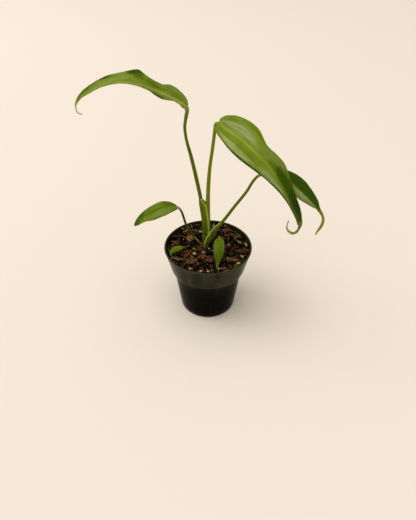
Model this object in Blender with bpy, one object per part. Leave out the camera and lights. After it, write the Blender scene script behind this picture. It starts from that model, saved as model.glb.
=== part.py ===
"""Potted young flame monstera: a long-leaved climber in a round nursery pot.

Units are metres, +Z is up, and the origin is the middle of the pot's flat underside.
Every leaf grows along one smooth line: the first stretch of it is the petiole, the rest is
the midrib of the blade, so the two meet square on at the joint between them.
"""
import bisect
import math
import random
from dataclasses import dataclass

import bmesh
import bpy
from mathutils import Matrix, Vector, noise

# General
CLEARANCE = 0.0003          # gap between pieces that touch in the real plant
ROUND_SEGMENTS = 48         # facets round the pot

# Pot: a thin moulded shell with a raised band under the rim
RIM_RADIUS = 0.045
POT_HEIGHT = 0.078
BAND_BOTTOM = 0.0525        # height of the band's lower edge
BAND_BOTTOM_RADIUS = 0.0390
BAND_STEP = 0.0026          # how far the band stands out from the body below it
BAND_LEDGE = 0.0009         # height over which the outside steps in there
BASE_RADIUS = 0.0297
BASE_EDGE = 0.0014          # chamfer round the foot
WALL = 0.0012
LIP_WIDTH = 0.0019
LIP_DEPTH = 0.0022
FLOOR_TOP = 0.0032          # inside floor
FOOT_WIDTH = 0.0034         # ring that the pot stands on
HUB_RADIUS = 0.0085         # disc in the middle that the pot also stands on
GUTTER = 0.0015             # depth of the drain gutter between them
LIP_STEPS = 4               # facets over the round lip
DRAIN_COUNT = 6
DRAIN_RADIUS = 0.0030
DRAIN_CIRCLE = 0.0190
NOTCH_WIDTH = 0.0034
NOTCH_HEIGHT = 0.0012

# Potting mix
SOIL_LEVEL = 0.0730
SOIL_RELIEF = 0.0009        # height of the lumps in its surface
SOIL_LUMP = 0.0065          # and their breadth
SOIL_BANK = 0.0014          # how much higher it lies at the back wall than in the middle
MOUND_HEIGHT = 0.0010       # of the mound round the stem
MOUND_RADIUS = 0.0160
SOIL_SEED = 11
SOIL_RINGS = 7
SOIL_SEGMENTS = 36
BARK_COUNT = 40
BARK_SIZES = ((0.0020, 0.0042), (0.45, 0.8), (0.0011, 0.0017))   # half length, slimness, half height
BARK_GAP = 0.80             # least distance of two, as a share of their half lengths
GRAIN_COUNT = 60
GRAIN_SIZES = ((0.0007, 0.0013), (0.7, 1.0), (0.0007, 0.0012))
GRAIN_GAP = 0.95
LUMP_CORNERS = (0.72, 1.12)          # how far in or out a lump's corners lie
LUMP_TILT = 0.30                     # in radians
LUMP_SUNK = (0.50, 0.66)             # share of a lump's height that is below the surface
CLEAR_OF_WALL = 0.0010
CLEAR_OF_STEM = 0.0012
CLEAR_OF_LEAF = 0.0042
LEAF_FOOT = 0.0080                   # height above the mix up to which lumps keep clear of it
SEEDLING_HOLE = (0.0018, 0.0160)     # radius and depth of a seedling leaf's hole

# Stem: a stub that the leaves clasp, standing in a hole in the mix
STEM_CENTRE = Vector((-0.0024, 0.0048, 0.0))
STEM_SIZE = (0.0048, 0.0049)     # half width and half depth
STEM_BOTTOM = 0.0500
STEM_TOP = 0.0738
STEM_TAPER = 0.6                 # its size at the bottom, as a share
PETIOLE_FOOT = STEM_TOP + CLEARANCE

# The tight bundle of the two tall petioles, which the lower sheaths clasp
BUNDLE_CENTRE = Vector((-0.0019, 0.0066, 0.0))
BUNDLE_SIZE = (0.0046, 0.0034)
BUNDLE_TOP = 0.1330

# Leaves
BLADE_THICKNESS = 0.0007
KEEL_HALF_WIDTH = 0.0009    # half width of the rib under each blade
JOINT_HALF_WIDTH = 0.0016   # nearer the joint than this, a blade doesn't reach back past it
LOBE_WIDTH = 0.0060         # how far out from there the lobes at its base reach back fully
LOBE_SHARE = 0.12           # share of a blade's length over which they do
ROUTE_STEP = 0.00025        # spacing of the fine points along a leaf's line
BLADE_STEP = 0.0046         # a blade has a row of points at each such length of its line
BLADE_TURN = 26             # or where the line has turned by so many degrees
STALK_STEP = 0.0080
STALK_TURN = 20


def clear_scene():
    """Remove every object of the start-up scene."""
    for item in list(bpy.data.objects):
        bpy.data.objects.remove(item, do_unlink=True)


def make_material(name, colour, roughness, metallic=0.0):
    """Return a Principled material of one colour."""
    material = bpy.data.materials.new(name)
    material.use_nodes = True
    shader = material.node_tree.nodes["Principled BSDF"]
    shader.inputs["Base Color"].default_value = (*colour, 1.0)
    shader.inputs["Roughness"].default_value = roughness
    shader.inputs["Metallic"].default_value = metallic
    return material


def add_object(name, bm, material, smooth=True):
    """Turn a bmesh into a named object with its material."""
    bmesh.ops.recalc_face_normals(bm, faces=bm.faces)
    mesh = bpy.data.meshes.new(name)
    bm.to_mesh(mesh)
    bm.free()
    if smooth:
        mesh.shade_smooth()
        mesh.set_sharp_from_angle(angle=math.radians(40))
    mesh.materials.append(material)
    item = bpy.data.objects.new(name, mesh)
    bpy.context.scene.collection.objects.link(item)
    return item


def add_cutter(name, bm):
    """Turn a bmesh into a cutter: a wire that is not part of the model."""
    item = add_object(name, bm, None, smooth=False)
    item.display_type = "WIRE"
    item.hide_render = True
    return item


def cut_away(item, cutter):
    """Cut one object with a Boolean that stays live."""
    modifier = item.modifiers.new("cut " + cutter.name, "BOOLEAN")
    modifier.operation = "DIFFERENCE"
    modifier.object = cutter


def add_prism(bm, centre, size, bottom, top, segments=24):
    """Add an upright elliptical prism with half sizes size to a bmesh."""
    made = bmesh.ops.create_cone(
        bm, cap_ends=True, segments=segments, radius1=1.0, radius2=1.0, depth=1.0)
    place = (Matrix.Translation((centre.x, centre.y, (bottom + top) / 2))
             @ Matrix.Diagonal((size[0], size[1], top - bottom, 1.0)))
    bmesh.ops.transform(bm, matrix=place, verts=made["verts"])


# Smooth lines and values

def tangents_at(points, knots):
    """Slopes of a smooth cubic through points that lie at the given knots."""
    last = len(points) - 1
    slopes = [None] * (last + 1)
    for i in range(1, last):
        before = (points[i] - points[i - 1]) / (knots[i] - knots[i - 1])
        after = (points[i + 1] - points[i]) / (knots[i + 1] - knots[i])
        share = (knots[i] - knots[i - 1]) / (knots[i + 1] - knots[i - 1])
        slopes[i] = before * (1 - share) + after * share
    slopes[0] = 2 * (points[1] - points[0]) / (knots[1] - knots[0]) - slopes[1]
    slopes[last] = (2 * (points[last] - points[last - 1]) / (knots[last] - knots[last - 1])
                    - slopes[last - 1])
    return slopes


def hermite(start, end, slope_in, slope_out, span, u):
    """Cubic between two values with given slopes."""
    return ((2 * u ** 3 - 3 * u ** 2 + 1) * start + (u ** 3 - 2 * u ** 2 + u) * span * slope_in
            + (3 * u ** 2 - 2 * u ** 3) * end + (u ** 3 - u ** 2) * span * slope_out)


def fine_line(route):
    """Return close-set points of a smooth line and their lengths, and the knots' lengths."""
    points = [Vector(p) for p in route]
    knots = [0.0]
    for a, b in zip(points, points[1:]):
        knots.append(knots[-1] + (b - a).length)
    slopes = tangents_at(points, knots)
    line = [points[0]]
    marks = [0]
    for i in range(len(points) - 1):
        span = knots[i + 1] - knots[i]
        steps = max(2, math.ceil(span / ROUTE_STEP))
        for k in range(1, steps + 1):
            line.append(hermite(points[i], points[i + 1], slopes[i], slopes[i + 1],
                                span, k / steps))
        marks.append(len(line) - 1)
    lengths = [0.0]
    for a, b in zip(line, line[1:]):
        lengths.append(lengths[-1] + (b - a).length)
    return line, lengths, [lengths[m] for m in marks]


def walk(line, lengths, start, end, step, turn_step):
    """Return (share, point, tangent) stations along a stretch of a fine line.

    A station comes wherever the line has run a step or turned by a turn step, in degrees, so
    they lie close together in a bend.
    """
    inside = [k for k in range(1, len(line) - 1) if start < lengths[k] < end]
    places = [start] + [lengths[k] for k in inside] + [end]
    ways = [line[k + 1] - line[k - 1] for k in inside]
    ways = [ways[0]] + ways + [ways[-1]]
    effort = [0.0]
    for k in range(1, len(places)):
        effort.append(effort[-1] + (places[k] - places[k - 1]) / step
                      + math.degrees(ways[k].angle(ways[k - 1])) / turn_step)
    count = max(4, round(effort[-1]))
    stations = []
    k = 0
    for number in range(count + 1):
        want = effort[-1] * number / count
        while k < len(effort) - 2 and effort[k + 1] < want:
            k += 1
        part = (want - effort[k]) / (effort[k + 1] - effort[k])
        place = places[k] + (places[k + 1] - places[k]) * part
        tangent = ways[k].normalized().lerp(ways[k + 1].normalized(), part).normalized()
        stations.append(((place - start) / (end - start), point_at(line, lengths, place), tangent))
    return stations


def point_at(line, lengths, place):
    """Return the point of a fine line at a length along it."""
    k = min(max(bisect.bisect_right(lengths, place) - 1, 0), len(line) - 2)
    return line[k].lerp(line[k + 1], (place - lengths[k]) / (lengths[k + 1] - lengths[k]))


def value_at(keys, where):
    """Read a smooth value from (place, value) keys, without overshoot."""
    places = [key[0] for key in keys]
    values = [key[1] for key in keys]
    where = min(max(where, places[0]), places[-1])
    rises = [(values[i + 1] - values[i]) / (places[i + 1] - places[i])
             for i in range(len(keys) - 1)]
    slopes = [rises[0]]
    for a, b in zip(rises, rises[1:]):
        slopes.append(0.0 if a * b <= 0 else 2 * a * b / (a + b))
    slopes.append(rises[-1])
    i = 0
    while i < len(keys) - 2 and where > places[i + 1]:
        i += 1
    span = places[i + 1] - places[i]
    return hermite(values[i], values[i + 1], slopes[i], slopes[i + 1], span,
                   (where - places[i]) / span)


def square_to(direction, tangent):
    """Return the part of a direction that is square to a tangent, at unit length."""
    return (direction - direction.dot(tangent) * tangent).normalized()


# Leaves

@dataclass
class Blade:
    """Form of one blade: keys are (share of its length, value) pairs.

    heading: compass direction in degrees that the blade points to, seen from above.
    left, right: half widths, seen along the blade with its upper face up.
    rise_left, rise_right: angle of each half above the level line across it, in degrees.
    bend_left, bend_right: how much each half's angle has changed at its margin.
    keel: depth of the rib below the blade.
    back: how far the left and right lobes at the base reach back past the joint.
    """
    heading: float
    left: tuple
    right: tuple
    rise_left: tuple
    rise_right: tuple
    bend_left: tuple
    bend_right: tuple
    keel: tuple
    back: tuple
    columns: int


@dataclass
class Leaf:
    """One leaf: its whole line, its blade, the knot where that starts, and its petiole's radius.

    A seedling leaf has no petiole: its blade starts at the first knot.
    """
    line: tuple
    blade: Blade
    joint: int = 0
    girth: tuple = ()


LEAVES = {
    # Tall leaf that arches out to the left
    1: Leaf(
        line=((-0.0035, 0.0066, PETIOLE_FOOT), (-0.0035, 0.0066, 0.0830),
              (-0.0035, 0.0066, 0.0930), (-0.0040, 0.0066, 0.1030),
              (-0.0060, 0.0066, 0.1200), (-0.0110, 0.0070, 0.1489), (-0.0159, 0.0075, 0.1728),
              (-0.0200, 0.0080, 0.1908), (-0.0207, 0.0080, 0.1984), (-0.0190, 0.0074, 0.2100),
              (-0.0183, 0.0070, 0.2137), (-0.0187, 0.0067, 0.2163),
              (-0.0255, 0.0060, 0.2216), (-0.0340, 0.0050, 0.2265), (-0.0430, 0.0040, 0.2308),
              (-0.0540, 0.0020, 0.2360), (-0.0660, 0.0000, 0.2391), (-0.0790, -0.0030, 0.2388),
              (-0.0922, -0.0060, 0.2336), (-0.1005, -0.0080, 0.2283),
              (-0.1048, -0.0090, 0.2222), (-0.1042, -0.0093, 0.2181),
              (-0.1005, -0.0095, 0.2165)),
        joint=11,
        girth=((0, 0.0021), (0.40, 0.0018), (0.52, 0.0018), (0.69, 0.0016), (0.82, 0.0013),
               (0.92, 0.0014), (1, 0.0019)),
        blade=Blade(
            heading=190,
            left=((0, 0.0012), (0.05, 0.0010), (0.10, 0.0030), (0.16, 0.0088), (0.23, 0.0120),
                  (0.32, 0.0108), (0.50, 0.0094), (0.65, 0.0093), (0.73, 0.0080),
                  (0.80, 0.0058), (0.89, 0.0030), (1, 0.0006)),
            right=((0, 0.0040), (0.02, 0.0056), (0.05, 0.0080), (0.09, 0.0104), (0.13, 0.0116),
                   (0.16, 0.0117), (0.23, 0.0089), (0.31, 0.0096), (0.37, 0.0138), (0.395, 0.0151),
                   (0.43, 0.0132), (0.47, 0.0106), (0.53, 0.0090), (0.60, 0.0082),
                   (0.70, 0.0071), (0.80, 0.0058), (0.88, 0.0036), (0.93, 0.0021), (1, 0.0006)),
            rise_left=((0, 0), (0.2, -1), (0.28, 3), (0.35, 7), (0.5, 6), (0.65, 4), (1, 3)),
            rise_right=((0, 42), (0.2, 36), (0.35, 34), (0.42, 40), (0.55, 26), (0.7, 20),
                        (1, 20)),
            bend_left=((0, 0), (0.25, -6), (0.5, 0), (1, 0)),
            bend_right=((0, -4), (0.3, -4), (0.39, -22), (0.5, -8), (1, 0)),
            keel=((0, 0.0014), (0.1, 0.0010), (0.5, 0.0006), (0.85, 0.0003), (1, 0.0001)),
            back=(0.0, 0.0030), columns=5)),
    # Broad leaf that hangs out to the right and forward
    2: Leaf(
        line=((-0.0003, 0.0066, PETIOLE_FOOT), (0.0004, 0.0066, 0.0830),
              (0.0005, 0.0066, 0.0930), (0.0001, 0.0066, 0.1030),
              (-0.0004, 0.0064, 0.1180), (-0.0004, 0.0055, 0.1361), (0.0010, 0.0035, 0.1637),
              (0.0033, 0.0020, 0.1841), (0.0049, 0.0006, 0.2000), (0.0052, 0.0003, 0.2038),
              (0.0059, 0.0000, 0.2059), (0.0075, -0.0008, 0.2064),
              (0.0135, -0.0040, 0.2036), (0.0240, -0.0100, 0.1986), (0.0377, -0.0180, 0.1894),
              (0.0518, -0.0240, 0.1770), (0.0630, -0.0270, 0.1624), (0.0730, -0.0285, 0.1450),
              (0.0800, -0.0288, 0.1305), (0.0818, -0.0285, 0.1217), (0.0806, -0.0282, 0.1172),
              (0.0779, -0.0280, 0.1152), (0.0750, -0.0278, 0.1163), (0.0720, -0.0276, 0.1202),
              (0.0719, -0.0276, 0.1248), (0.0725, -0.0276, 0.1280)),
        joint=11,
        girth=((0, 0.0013), (0.12, 0.0018), (0.38, 0.0021), (0.46, 0.0019), (0.56, 0.0018),
               (0.65, 0.0016), (0.85, 0.00145), (1, 0.0014)),
        blade=Blade(
            heading=-25,
            left=((0, 0.0038), (0.01, 0.0070), (0.03, 0.0118), (0.07, 0.0161), (0.14, 0.0186),
                  (0.19, 0.0178), (0.25, 0.0144), (0.30, 0.0121), (0.36, 0.0131),
                  (0.43, 0.0143), (0.50, 0.0121), (0.58, 0.0094), (0.66, 0.0083),
                  (0.73, 0.0069), (0.80, 0.0052), (0.87, 0.0025), (0.93, 0.0016), (1, 0.0007)),
            right=((0, 0.0050), (0.03, 0.0082), (0.08, 0.0114), (0.14, 0.0141), (0.20, 0.0151),
                   (0.30, 0.0145), (0.38, 0.0134), (0.46, 0.0123), (0.54, 0.0105),
                   (0.62, 0.0091), (0.70, 0.0071), (0.78, 0.0049), (0.85, 0.0026),
                   (0.93, 0.0015), (1, 0.0007)),
            rise_left=((0, 38), (0.12, 40), (0.3, 36), (0.6, 26), (0.78, 24), (0.87, 40),
                       (0.95, 38), (1, 20)),
            rise_right=((0, -20), (0.2, -19), (0.35, -10), (0.5, 4), (0.64, 12), (0.78, 6),
                        (0.87, 38), (0.95, 36), (1, 20)),
            bend_left=((0, -10), (0.12, -22), (0.30, -10), (0.45, -14), (1, 0)),
            bend_right=((0, -6), (0.2, -14), (0.5, -6), (1, 0)),
            keel=((0, 0.0014), (0.1, 0.0010), (0.5, 0.0006), (0.85, 0.0003), (1, 0.0001)),
            back=(0.0024, 0.0018), columns=5)),
    # Leaf that hangs out to the right behind the broad one
    3: Leaf(
        line=((-0.0024, 0.0020, PETIOLE_FOOT), (-0.0018, 0.0024, 0.0773),
              (-0.0002, 0.0028, 0.0810), (0.0016, 0.0032, 0.0845), (0.0043, 0.0040, 0.0892),
              (0.0084, 0.0050, 0.0961), (0.0140, 0.0063, 0.1025), (0.0257, 0.0080, 0.1200),
              (0.0368, 0.0092, 0.1368), (0.0428, 0.0100, 0.1482), (0.0457, 0.0104, 0.1516),
              (0.0492, 0.0106, 0.1534),
              (0.0600, 0.0100, 0.1545), (0.0750, 0.0070, 0.1490), (0.0900, 0.0030, 0.1372),
              (0.1045, -0.0012, 0.1228), (0.1094, -0.0030, 0.1160), (0.1102, -0.0035, 0.1112),
              (0.1094, -0.0038, 0.1058), (0.1074, -0.0040, 0.1000), (0.1064, -0.0040, 0.0952)),
        joint=11,
        girth=((0, 0.0018), (0.35, 0.0016), (1, 0.0013)),
        blade=Blade(
            heading=-15,
            left=((0, 0.0012), (0.05, 0.0056), (0.20, 0.0098), (0.34, 0.0126), (0.42, 0.0134),
                  (0.54, 0.0112), (0.64, 0.0078), (0.71, 0.0034), (0.76, 0.0023),
                  (0.84, 0.0031), (0.92, 0.0026), (1, 0.0007)),
            right=((0, 0.0012), (0.05, 0.0034), (0.20, 0.0092), (0.36, 0.0122), (0.46, 0.0108),
                   (0.54, 0.0080), (0.62, 0.0052), (0.70, 0.0011), (0.76, 0.0016),
                   (0.84, 0.0029), (0.92, 0.0024), (1, 0.0007)),
            rise_left=((0, 22), (0.5, 24), (0.68, 26), (0.80, 50), (0.93, 48), (1, 20)),
            rise_right=((0, -8), (0.5, -8), (0.66, 2), (0.80, 50), (0.93, 48), (1, 20)),
            bend_left=((0, 0), (0.4, -10), (1, 0)),
            bend_right=((0, 0), (0.4, -6), (1, 0)),
            keel=((0, 0.0013), (0.1, 0.0009), (0.5, 0.0006), (0.85, 0.0003), (1, 0.0001)),
            back=(0.0012, 0.0), columns=4)),
    # Short leaf low on the left
    4: Leaf(
        line=((-0.0056, 0.0032, PETIOLE_FOOT), (-0.0092, 0.0028, 0.0796),
              (-0.0135, 0.0022, 0.0857), (-0.0186, 0.0015, 0.0957), (-0.0222, 0.0010, 0.1035),
              (-0.0246, 0.0005, 0.1136), (-0.0264, 0.0000, 0.1198), (-0.0287, -0.0007, 0.1235),
              (-0.0340, -0.0020, 0.1253), (-0.0425, -0.0043, 0.1251), (-0.0516, -0.0070, 0.1223),
              (-0.0613, -0.0100, 0.1181), (-0.0702, -0.0134, 0.1111)),
        joint=7,
        girth=((0, 0.0013), (0.25, 0.0012), (1, 0.0011)),
        blade=Blade(
            heading=198,
            left=((0, 0.0009), (0.05, 0.0040), (0.18, 0.0076), (0.35, 0.0096), (0.55, 0.0092),
                  (0.76, 0.0056), (0.90, 0.0037), (1, 0.0010)),
            right=((0, 0.0009), (0.05, 0.0040), (0.18, 0.0083), (0.33, 0.0102), (0.52, 0.0096),
                   (0.76, 0.0069), (0.92, 0.0042), (1, 0.0012)),
            rise_left=((0, -8), (1, -8)),
            rise_right=((0, 12), (1, 12)),
            bend_left=((0, -8), (1, -8)),
            bend_right=((0, -8), (1, -8)),
            keel=((0, 0.0010), (0.15, 0.0006), (1, 0.0001)),
            back=(0.0, 0.0), columns=4)),
    # Seedling leaf that curls over by the left wall
    5: Leaf(
        line=((-0.0352, -0.0123, 0.0650), (-0.0376, -0.0130, 0.0735), (-0.0377, -0.0124, 0.0760),
              (-0.0367, -0.0110, 0.0776), (-0.0345, -0.0090, 0.0782), (-0.0318, -0.0066, 0.0781),
              (-0.0283, -0.0035, 0.0770), (-0.0249, -0.0008, 0.0755)),
        blade=Blade(
            heading=45,
            left=((0, 0.0008), (0.32, 0.0009), (0.50, 0.0022), (0.68, 0.0034), (0.85, 0.0026),
                  (0.96, 0.0010), (1, 0.0005)),
            right=((0, 0.0008), (0.32, 0.0009), (0.50, 0.0022), (0.68, 0.0032), (0.85, 0.0024),
                   (0.96, 0.0010), (1, 0.0005)),
            rise_left=((0, 18), (1, 18)),
            rise_right=((0, -20), (1, -20)),
            bend_left=((0, -6), (1, -6)),
            bend_right=((0, -10), (1, -10)),
            keel=((0, 0.0009), (0.35, 0.0008), (0.55, 0.0003), (1, 0.0001)),
            back=(0.0, 0.0), columns=3)),
    # Spoon-shaped seedling leaf at the front
    6: Leaf(
        line=((0.0084, -0.0310, 0.0650), (0.0087, -0.0302, 0.0724), (0.0096, -0.0290, 0.0798),
              (0.0104, -0.0266, 0.0902), (0.0107, -0.0246, 0.0983), (0.0112, -0.0228, 0.1047)),
        blade=Blade(
            heading=90,
            left=((0, 0.0009), (0.24, 0.0010), (0.38, 0.0024), (0.60, 0.0050), (0.78, 0.0058),
                  (0.90, 0.0052), (0.97, 0.0032), (1, 0.0012)),
            right=((0, 0.0009), (0.24, 0.0010), (0.38, 0.0021), (0.60, 0.0042), (0.78, 0.0049),
                   (0.90, 0.0044), (0.97, 0.0028), (1, 0.0012)),
            rise_left=((0, 16), (0.5, 20), (1, 4)),
            rise_right=((0, 16), (0.5, 20), (1, 4)),
            bend_left=((0, 0), (1, -8)),
            bend_right=((0, 0), (1, -8)),
            keel=((0, 0.0009), (0.3, 0.0008), (0.5, 0.0003), (1, 0.0001)),
            back=(0.0, 0.0), columns=4)),
}


def half_section(width, rise, bend, columns):
    """Return (outward, upward, slope) of the points from the midrib to one margin."""
    rib = min(KEEL_HALF_WIDTH / width, 0.45)
    shares = [0.0] + [rib + (1 - rib) * k / (columns - 1) for k in range(columns)]
    points = []
    for share in shares:
        if abs(bend) < 1e-4:
            outward = width * share * math.cos(rise)
            upward = width * share * math.sin(rise)
        else:
            outward = width / bend * (math.sin(rise + bend * share) - math.sin(rise))
            upward = width / bend * (math.cos(rise) - math.cos(rise + bend * share))
        points.append((outward, upward, rise + bend * share))
    return points


def build_blade(name, leaf, material):
    """Build one blade as a thin closed solid whose faces are split alike on both sides."""
    form = leaf.blade
    line, lengths, knots = fine_line(leaf.line)
    start = knots[leaf.joint] + (CLEARANCE if leaf.joint else 0.0)
    stations = walk(line, lengths, start, lengths[-1], BLADE_STEP, BLADE_TURN)
    heading = math.radians(form.heading)
    across = Vector((math.sin(heading), -math.cos(heading), 0.0))
    bm = bmesh.new()
    upper, lower = [], []
    for along, point, tangent in stations:
        side = square_to(across, tangent)
        normal = side.cross(tangent)
        keel = value_at(form.keel, along)
        halves = []
        for sign, width, rise, bend in (
                (-1, form.left, form.rise_left, form.bend_left),
                (1, form.right, form.rise_right, form.bend_right)):
            halves.append([(sign * x, y, sign * slope) for x, y, slope in half_section(
                value_at(width, along), math.radians(value_at(rise, along)),
                math.radians(value_at(bend, along)), form.columns)])
        section = halves[0][:0:-1] + halves[1]
        top_row, bottom_row = [], []
        middle = form.columns
        for column, (x, y, slope) in enumerate(section):
            beside = min(1.0, max(0.0, abs(x) - JOINT_HALF_WIDTH) / LOBE_WIDTH)
            reach = form.back[x > 0] * beside * max(0.0, 1 - along / LOBE_SHARE)
            spot = point + side * x + normal * y - tangent * reach
            facing = normal * math.cos(slope) - side * math.sin(slope)
            depth = BLADE_THICKNESS
            if column == middle:
                facing = normal
                depth += keel
            elif abs(column - middle) == 1:
                depth += 0.3 * keel
            top_row.append(bm.verts.new(spot + facing * BLADE_THICKNESS / 2))
            bottom_row.append(bm.verts.new(spot + facing * (BLADE_THICKNESS / 2 - depth)))
        upper.append(top_row)
        lower.append(bottom_row)
    skin_blade(bm, upper, lower)
    return add_object(name, bm, material)


def skin_blade(bm, upper, lower):
    """Close two like grids of points into a solid."""
    rows, columns = len(upper), len(upper[0])
    for i in range(rows - 1):
        for j in range(columns - 1):
            for grid, flip in ((upper, False), (lower, True)):
                a, b = grid[i][j], grid[i + 1][j]
                c, d = grid[i + 1][j + 1], grid[i][j + 1]
                for face in ((a, b, c), (a, c, d)):
                    bm.faces.new(face[::-1] if flip else face)
    rim = ([(i, 0) for i in range(rows)] + [(rows - 1, j) for j in range(1, columns)]
           + [(i, columns - 1) for i in range(rows - 2, -1, -1)]
           + [(0, j) for j in range(columns - 2, 0, -1)])
    for (i, j), (k, m) in zip(rim, rim[1:] + rim[:1]):
        bm.faces.new((upper[i][j], lower[i][j], lower[k][m]))
        bm.faces.new((upper[i][j], lower[k][m], upper[k][m]))


def skin_rings(bm, rings):
    """Close a row of like rings of points into a solid with flat ends."""
    count = len(rings[0])
    for first, second in zip(rings, rings[1:]):
        for k in range(count):
            m = (k + 1) % count
            bm.faces.new((first[k], first[m], second[m]))
            bm.faces.new((first[k], second[m], second[k]))
    bm.faces.new(rings[0][::-1])
    bm.faces.new(rings[-1])
    bmesh.ops.triangulate(bm, faces=[f for f in bm.faces if len(f.verts) > 3])


@dataclass
class Sheath:
    """Open channel at the foot of a petiole, which clasps what stands inside it.

    facing: compass direction in degrees of the channel's closed back.
    reach, width: half depth and half width of its outside.
    middle_wall, edge_wall: thickness at its back and at its two margins.
    sweep: angle in degrees from the back to each margin.
    offset: how far its middle lies from the petiole's own line, away from the back.
    full, end: heights up to which it is whole, and at which it has closed into the petiole.
    foot: share of its size that it has at the stem, growing to the whole over SHEATH_SWELL.
    """
    facing: float
    reach: float
    width: float
    middle_wall: float
    edge_wall: float
    sweep: float
    offset: float
    full: float
    end: float
    foot: float


SHEATHS = {
    1: Sheath(facing=180, reach=BUNDLE_SIZE[0], width=BUNDLE_SIZE[1], middle_wall=0.0039,
              edge_wall=0.0006, sweep=128, offset=0.0019, full=0.1215, end=0.1315, foot=0.8),
    3: Sheath(facing=-55, reach=0.0028, width=0.0036, middle_wall=0.0023, edge_wall=0.0007,
              sweep=104, offset=0.0003, full=0.0930, end=0.1020, foot=0.6),
    4: Sheath(facing=215, reach=0.0015, width=0.0022, middle_wall=0.0013, edge_wall=0.0007,
              sweep=100, offset=0.0002, full=0.0800, end=0.0880, foot=0.6),
}
SHEATH_SWELL = 0.0100
SECTION_STEPS = 8           # steps round each side of a sheathed petiole's section


def sheath_section(sheath, radius, share):
    """Section of a petiole that is an open channel at share 1 and round at share 0.

    Returns (back, side) pairs: first round the outside, then back along the inside.
    """
    points = []
    sweep = math.radians(sheath.sweep)
    for k in range(SECTION_STEPS + 1):
        turn = 1 - 2 * k / SECTION_STEPS
        angle = sweep * turn
        channel = (sheath.reach * math.cos(angle) - sheath.offset,
                   sheath.width * math.sin(angle))
        plain = (radius * math.cos(math.pi / 2 * turn), radius * math.sin(math.pi / 2 * turn))
        points.append((channel, plain))
    for k in range(1, SECTION_STEPS):
        turn = -1 + 2 * k / SECTION_STEPS
        angle = sweep * turn
        wall = sheath.edge_wall + (sheath.middle_wall - sheath.edge_wall) * math.cos(
            math.pi / 2 * turn) ** 2
        channel = ((sheath.reach - wall) * math.cos(angle) - sheath.offset,
                   (sheath.width - sheath.edge_wall) * math.sin(angle))
        round_turn = math.pi / 2 * (1 + 2 * k / SECTION_STEPS)
        plain = (radius * math.cos(round_turn), -radius * math.sin(round_turn))
        points.append((channel, plain))
    return [(c[0] * share + p[0] * (1 - share), c[1] * share + p[1] * (1 - share))
            for c, p in points]


def build_petiole(name, leaf, sheath, material):
    """Build one petiole as a tapered stalk, with a sheath at its foot where it has one."""
    line, lengths, knots = fine_line(leaf.line)
    stations = walk(line, lengths, 0.0, knots[leaf.joint], STALK_STEP, STALK_TURN)
    facing = math.radians(sheath.facing)
    back_way = Vector((math.cos(facing), math.sin(facing), 0.0))
    bm = bmesh.new()
    rings = []
    for along, point, tangent in stations:
        back = square_to(back_way, tangent)
        side = tangent.cross(back)
        share = min(1.0, max(0.0, (sheath.end - point.z) / (sheath.end - sheath.full)))
        share = share * share * (3 - 2 * share)
        swell = min(1.0, sheath.foot + (1 - sheath.foot) * (point.z - PETIOLE_FOOT) / SHEATH_SWELL)
        section = sheath_section(sheath, value_at(leaf.girth, along), share)
        ring = [point + (back * x + side * y) * swell for x, y in section]
        if along == 0.0:
            ring = [Vector((p.x, p.y, PETIOLE_FOOT)) for p in ring]
        rings.append([bm.verts.new(p) for p in ring])
    skin_rings(bm, rings)
    return add_object(name, bm, material)


def build_plain_petiole(name, leaf, material):
    """Build the youngest petiole: a plain tapered stalk, as a curve with a round bevel."""
    line, lengths, knots = fine_line(leaf.line)
    stations = walk(line, lengths, 0.0, knots[leaf.joint], STALK_STEP, STALK_TURN)
    curve = bpy.data.curves.new(name, "CURVE")
    curve.dimensions = "3D"
    curve.bevel_depth = 1.0
    curve.bevel_resolution = 2
    curve.use_fill_caps = True
    spline = curve.splines.new("POLY")
    spline.points.add(len(stations) - 1)
    for spot, (along, point, _) in zip(spline.points, stations):
        spot.co = (*point, 1.0)
        spot.radius = value_at(leaf.girth, along)
    curve.materials.append(material)
    item = bpy.data.objects.new(name, curve)
    bpy.context.scene.collection.objects.link(item)
    return item


# Pot

def band_radius(height):
    """Outside radius of the band at a height."""
    share = (height - BAND_BOTTOM) / (POT_HEIGHT - BAND_BOTTOM)
    return BAND_BOTTOM_RADIUS + share * (RIM_RADIUS - BAND_BOTTOM_RADIUS)


def body_radius(height):
    """Outside radius of the pot's body at a height below the band."""
    share = height / BAND_BOTTOM
    return BASE_RADIUS + share * (BAND_BOTTOM_RADIUS - BAND_STEP - BASE_RADIUS)


def inside_radius(height):
    """Inside radius of the pot's wall at a height; it steps in a wall's thickness higher."""
    share = min(1.0, max(0.0, (height - BAND_BOTTOM) / WALL))
    return share * band_radius(height) + (1 - share) * body_radius(height) - WALL


def pot_profile():
    """Closed half section of the pot as (radius, height) points."""
    lip = LIP_WIDTH / 2
    lip_foot = POT_HEIGHT - LIP_DEPTH
    profile = [(0.0, 0.0), (HUB_RADIUS, 0.0), (HUB_RADIUS + GUTTER, GUTTER),
               (BASE_RADIUS - FOOT_WIDTH - GUTTER, GUTTER), (BASE_RADIUS - FOOT_WIDTH, 0.0),
               (BASE_RADIUS - BASE_EDGE, 0.0), (body_radius(BASE_EDGE), BASE_EDGE),
               (body_radius(BAND_BOTTOM - BAND_LEDGE), BAND_BOTTOM - BAND_LEDGE),
               (BAND_BOTTOM_RADIUS, BAND_BOTTOM), (band_radius(lip_foot), lip_foot)]
    for k in range(LIP_STEPS + 1):
        turn = math.pi * k / LIP_STEPS
        profile.append((RIM_RADIUS - lip + lip * math.cos(turn),
                        POT_HEIGHT - lip + lip * math.sin(turn)))
    profile += [(inside_radius(h), h)
                for h in (lip_foot, BAND_BOTTOM + WALL, BAND_BOTTOM)]
    profile += [(inside_radius(FLOOR_TOP), FLOOR_TOP + BASE_EDGE),
                (inside_radius(FLOOR_TOP) - BASE_EDGE, FLOOR_TOP), (0.0, FLOOR_TOP)]
    return profile


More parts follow.
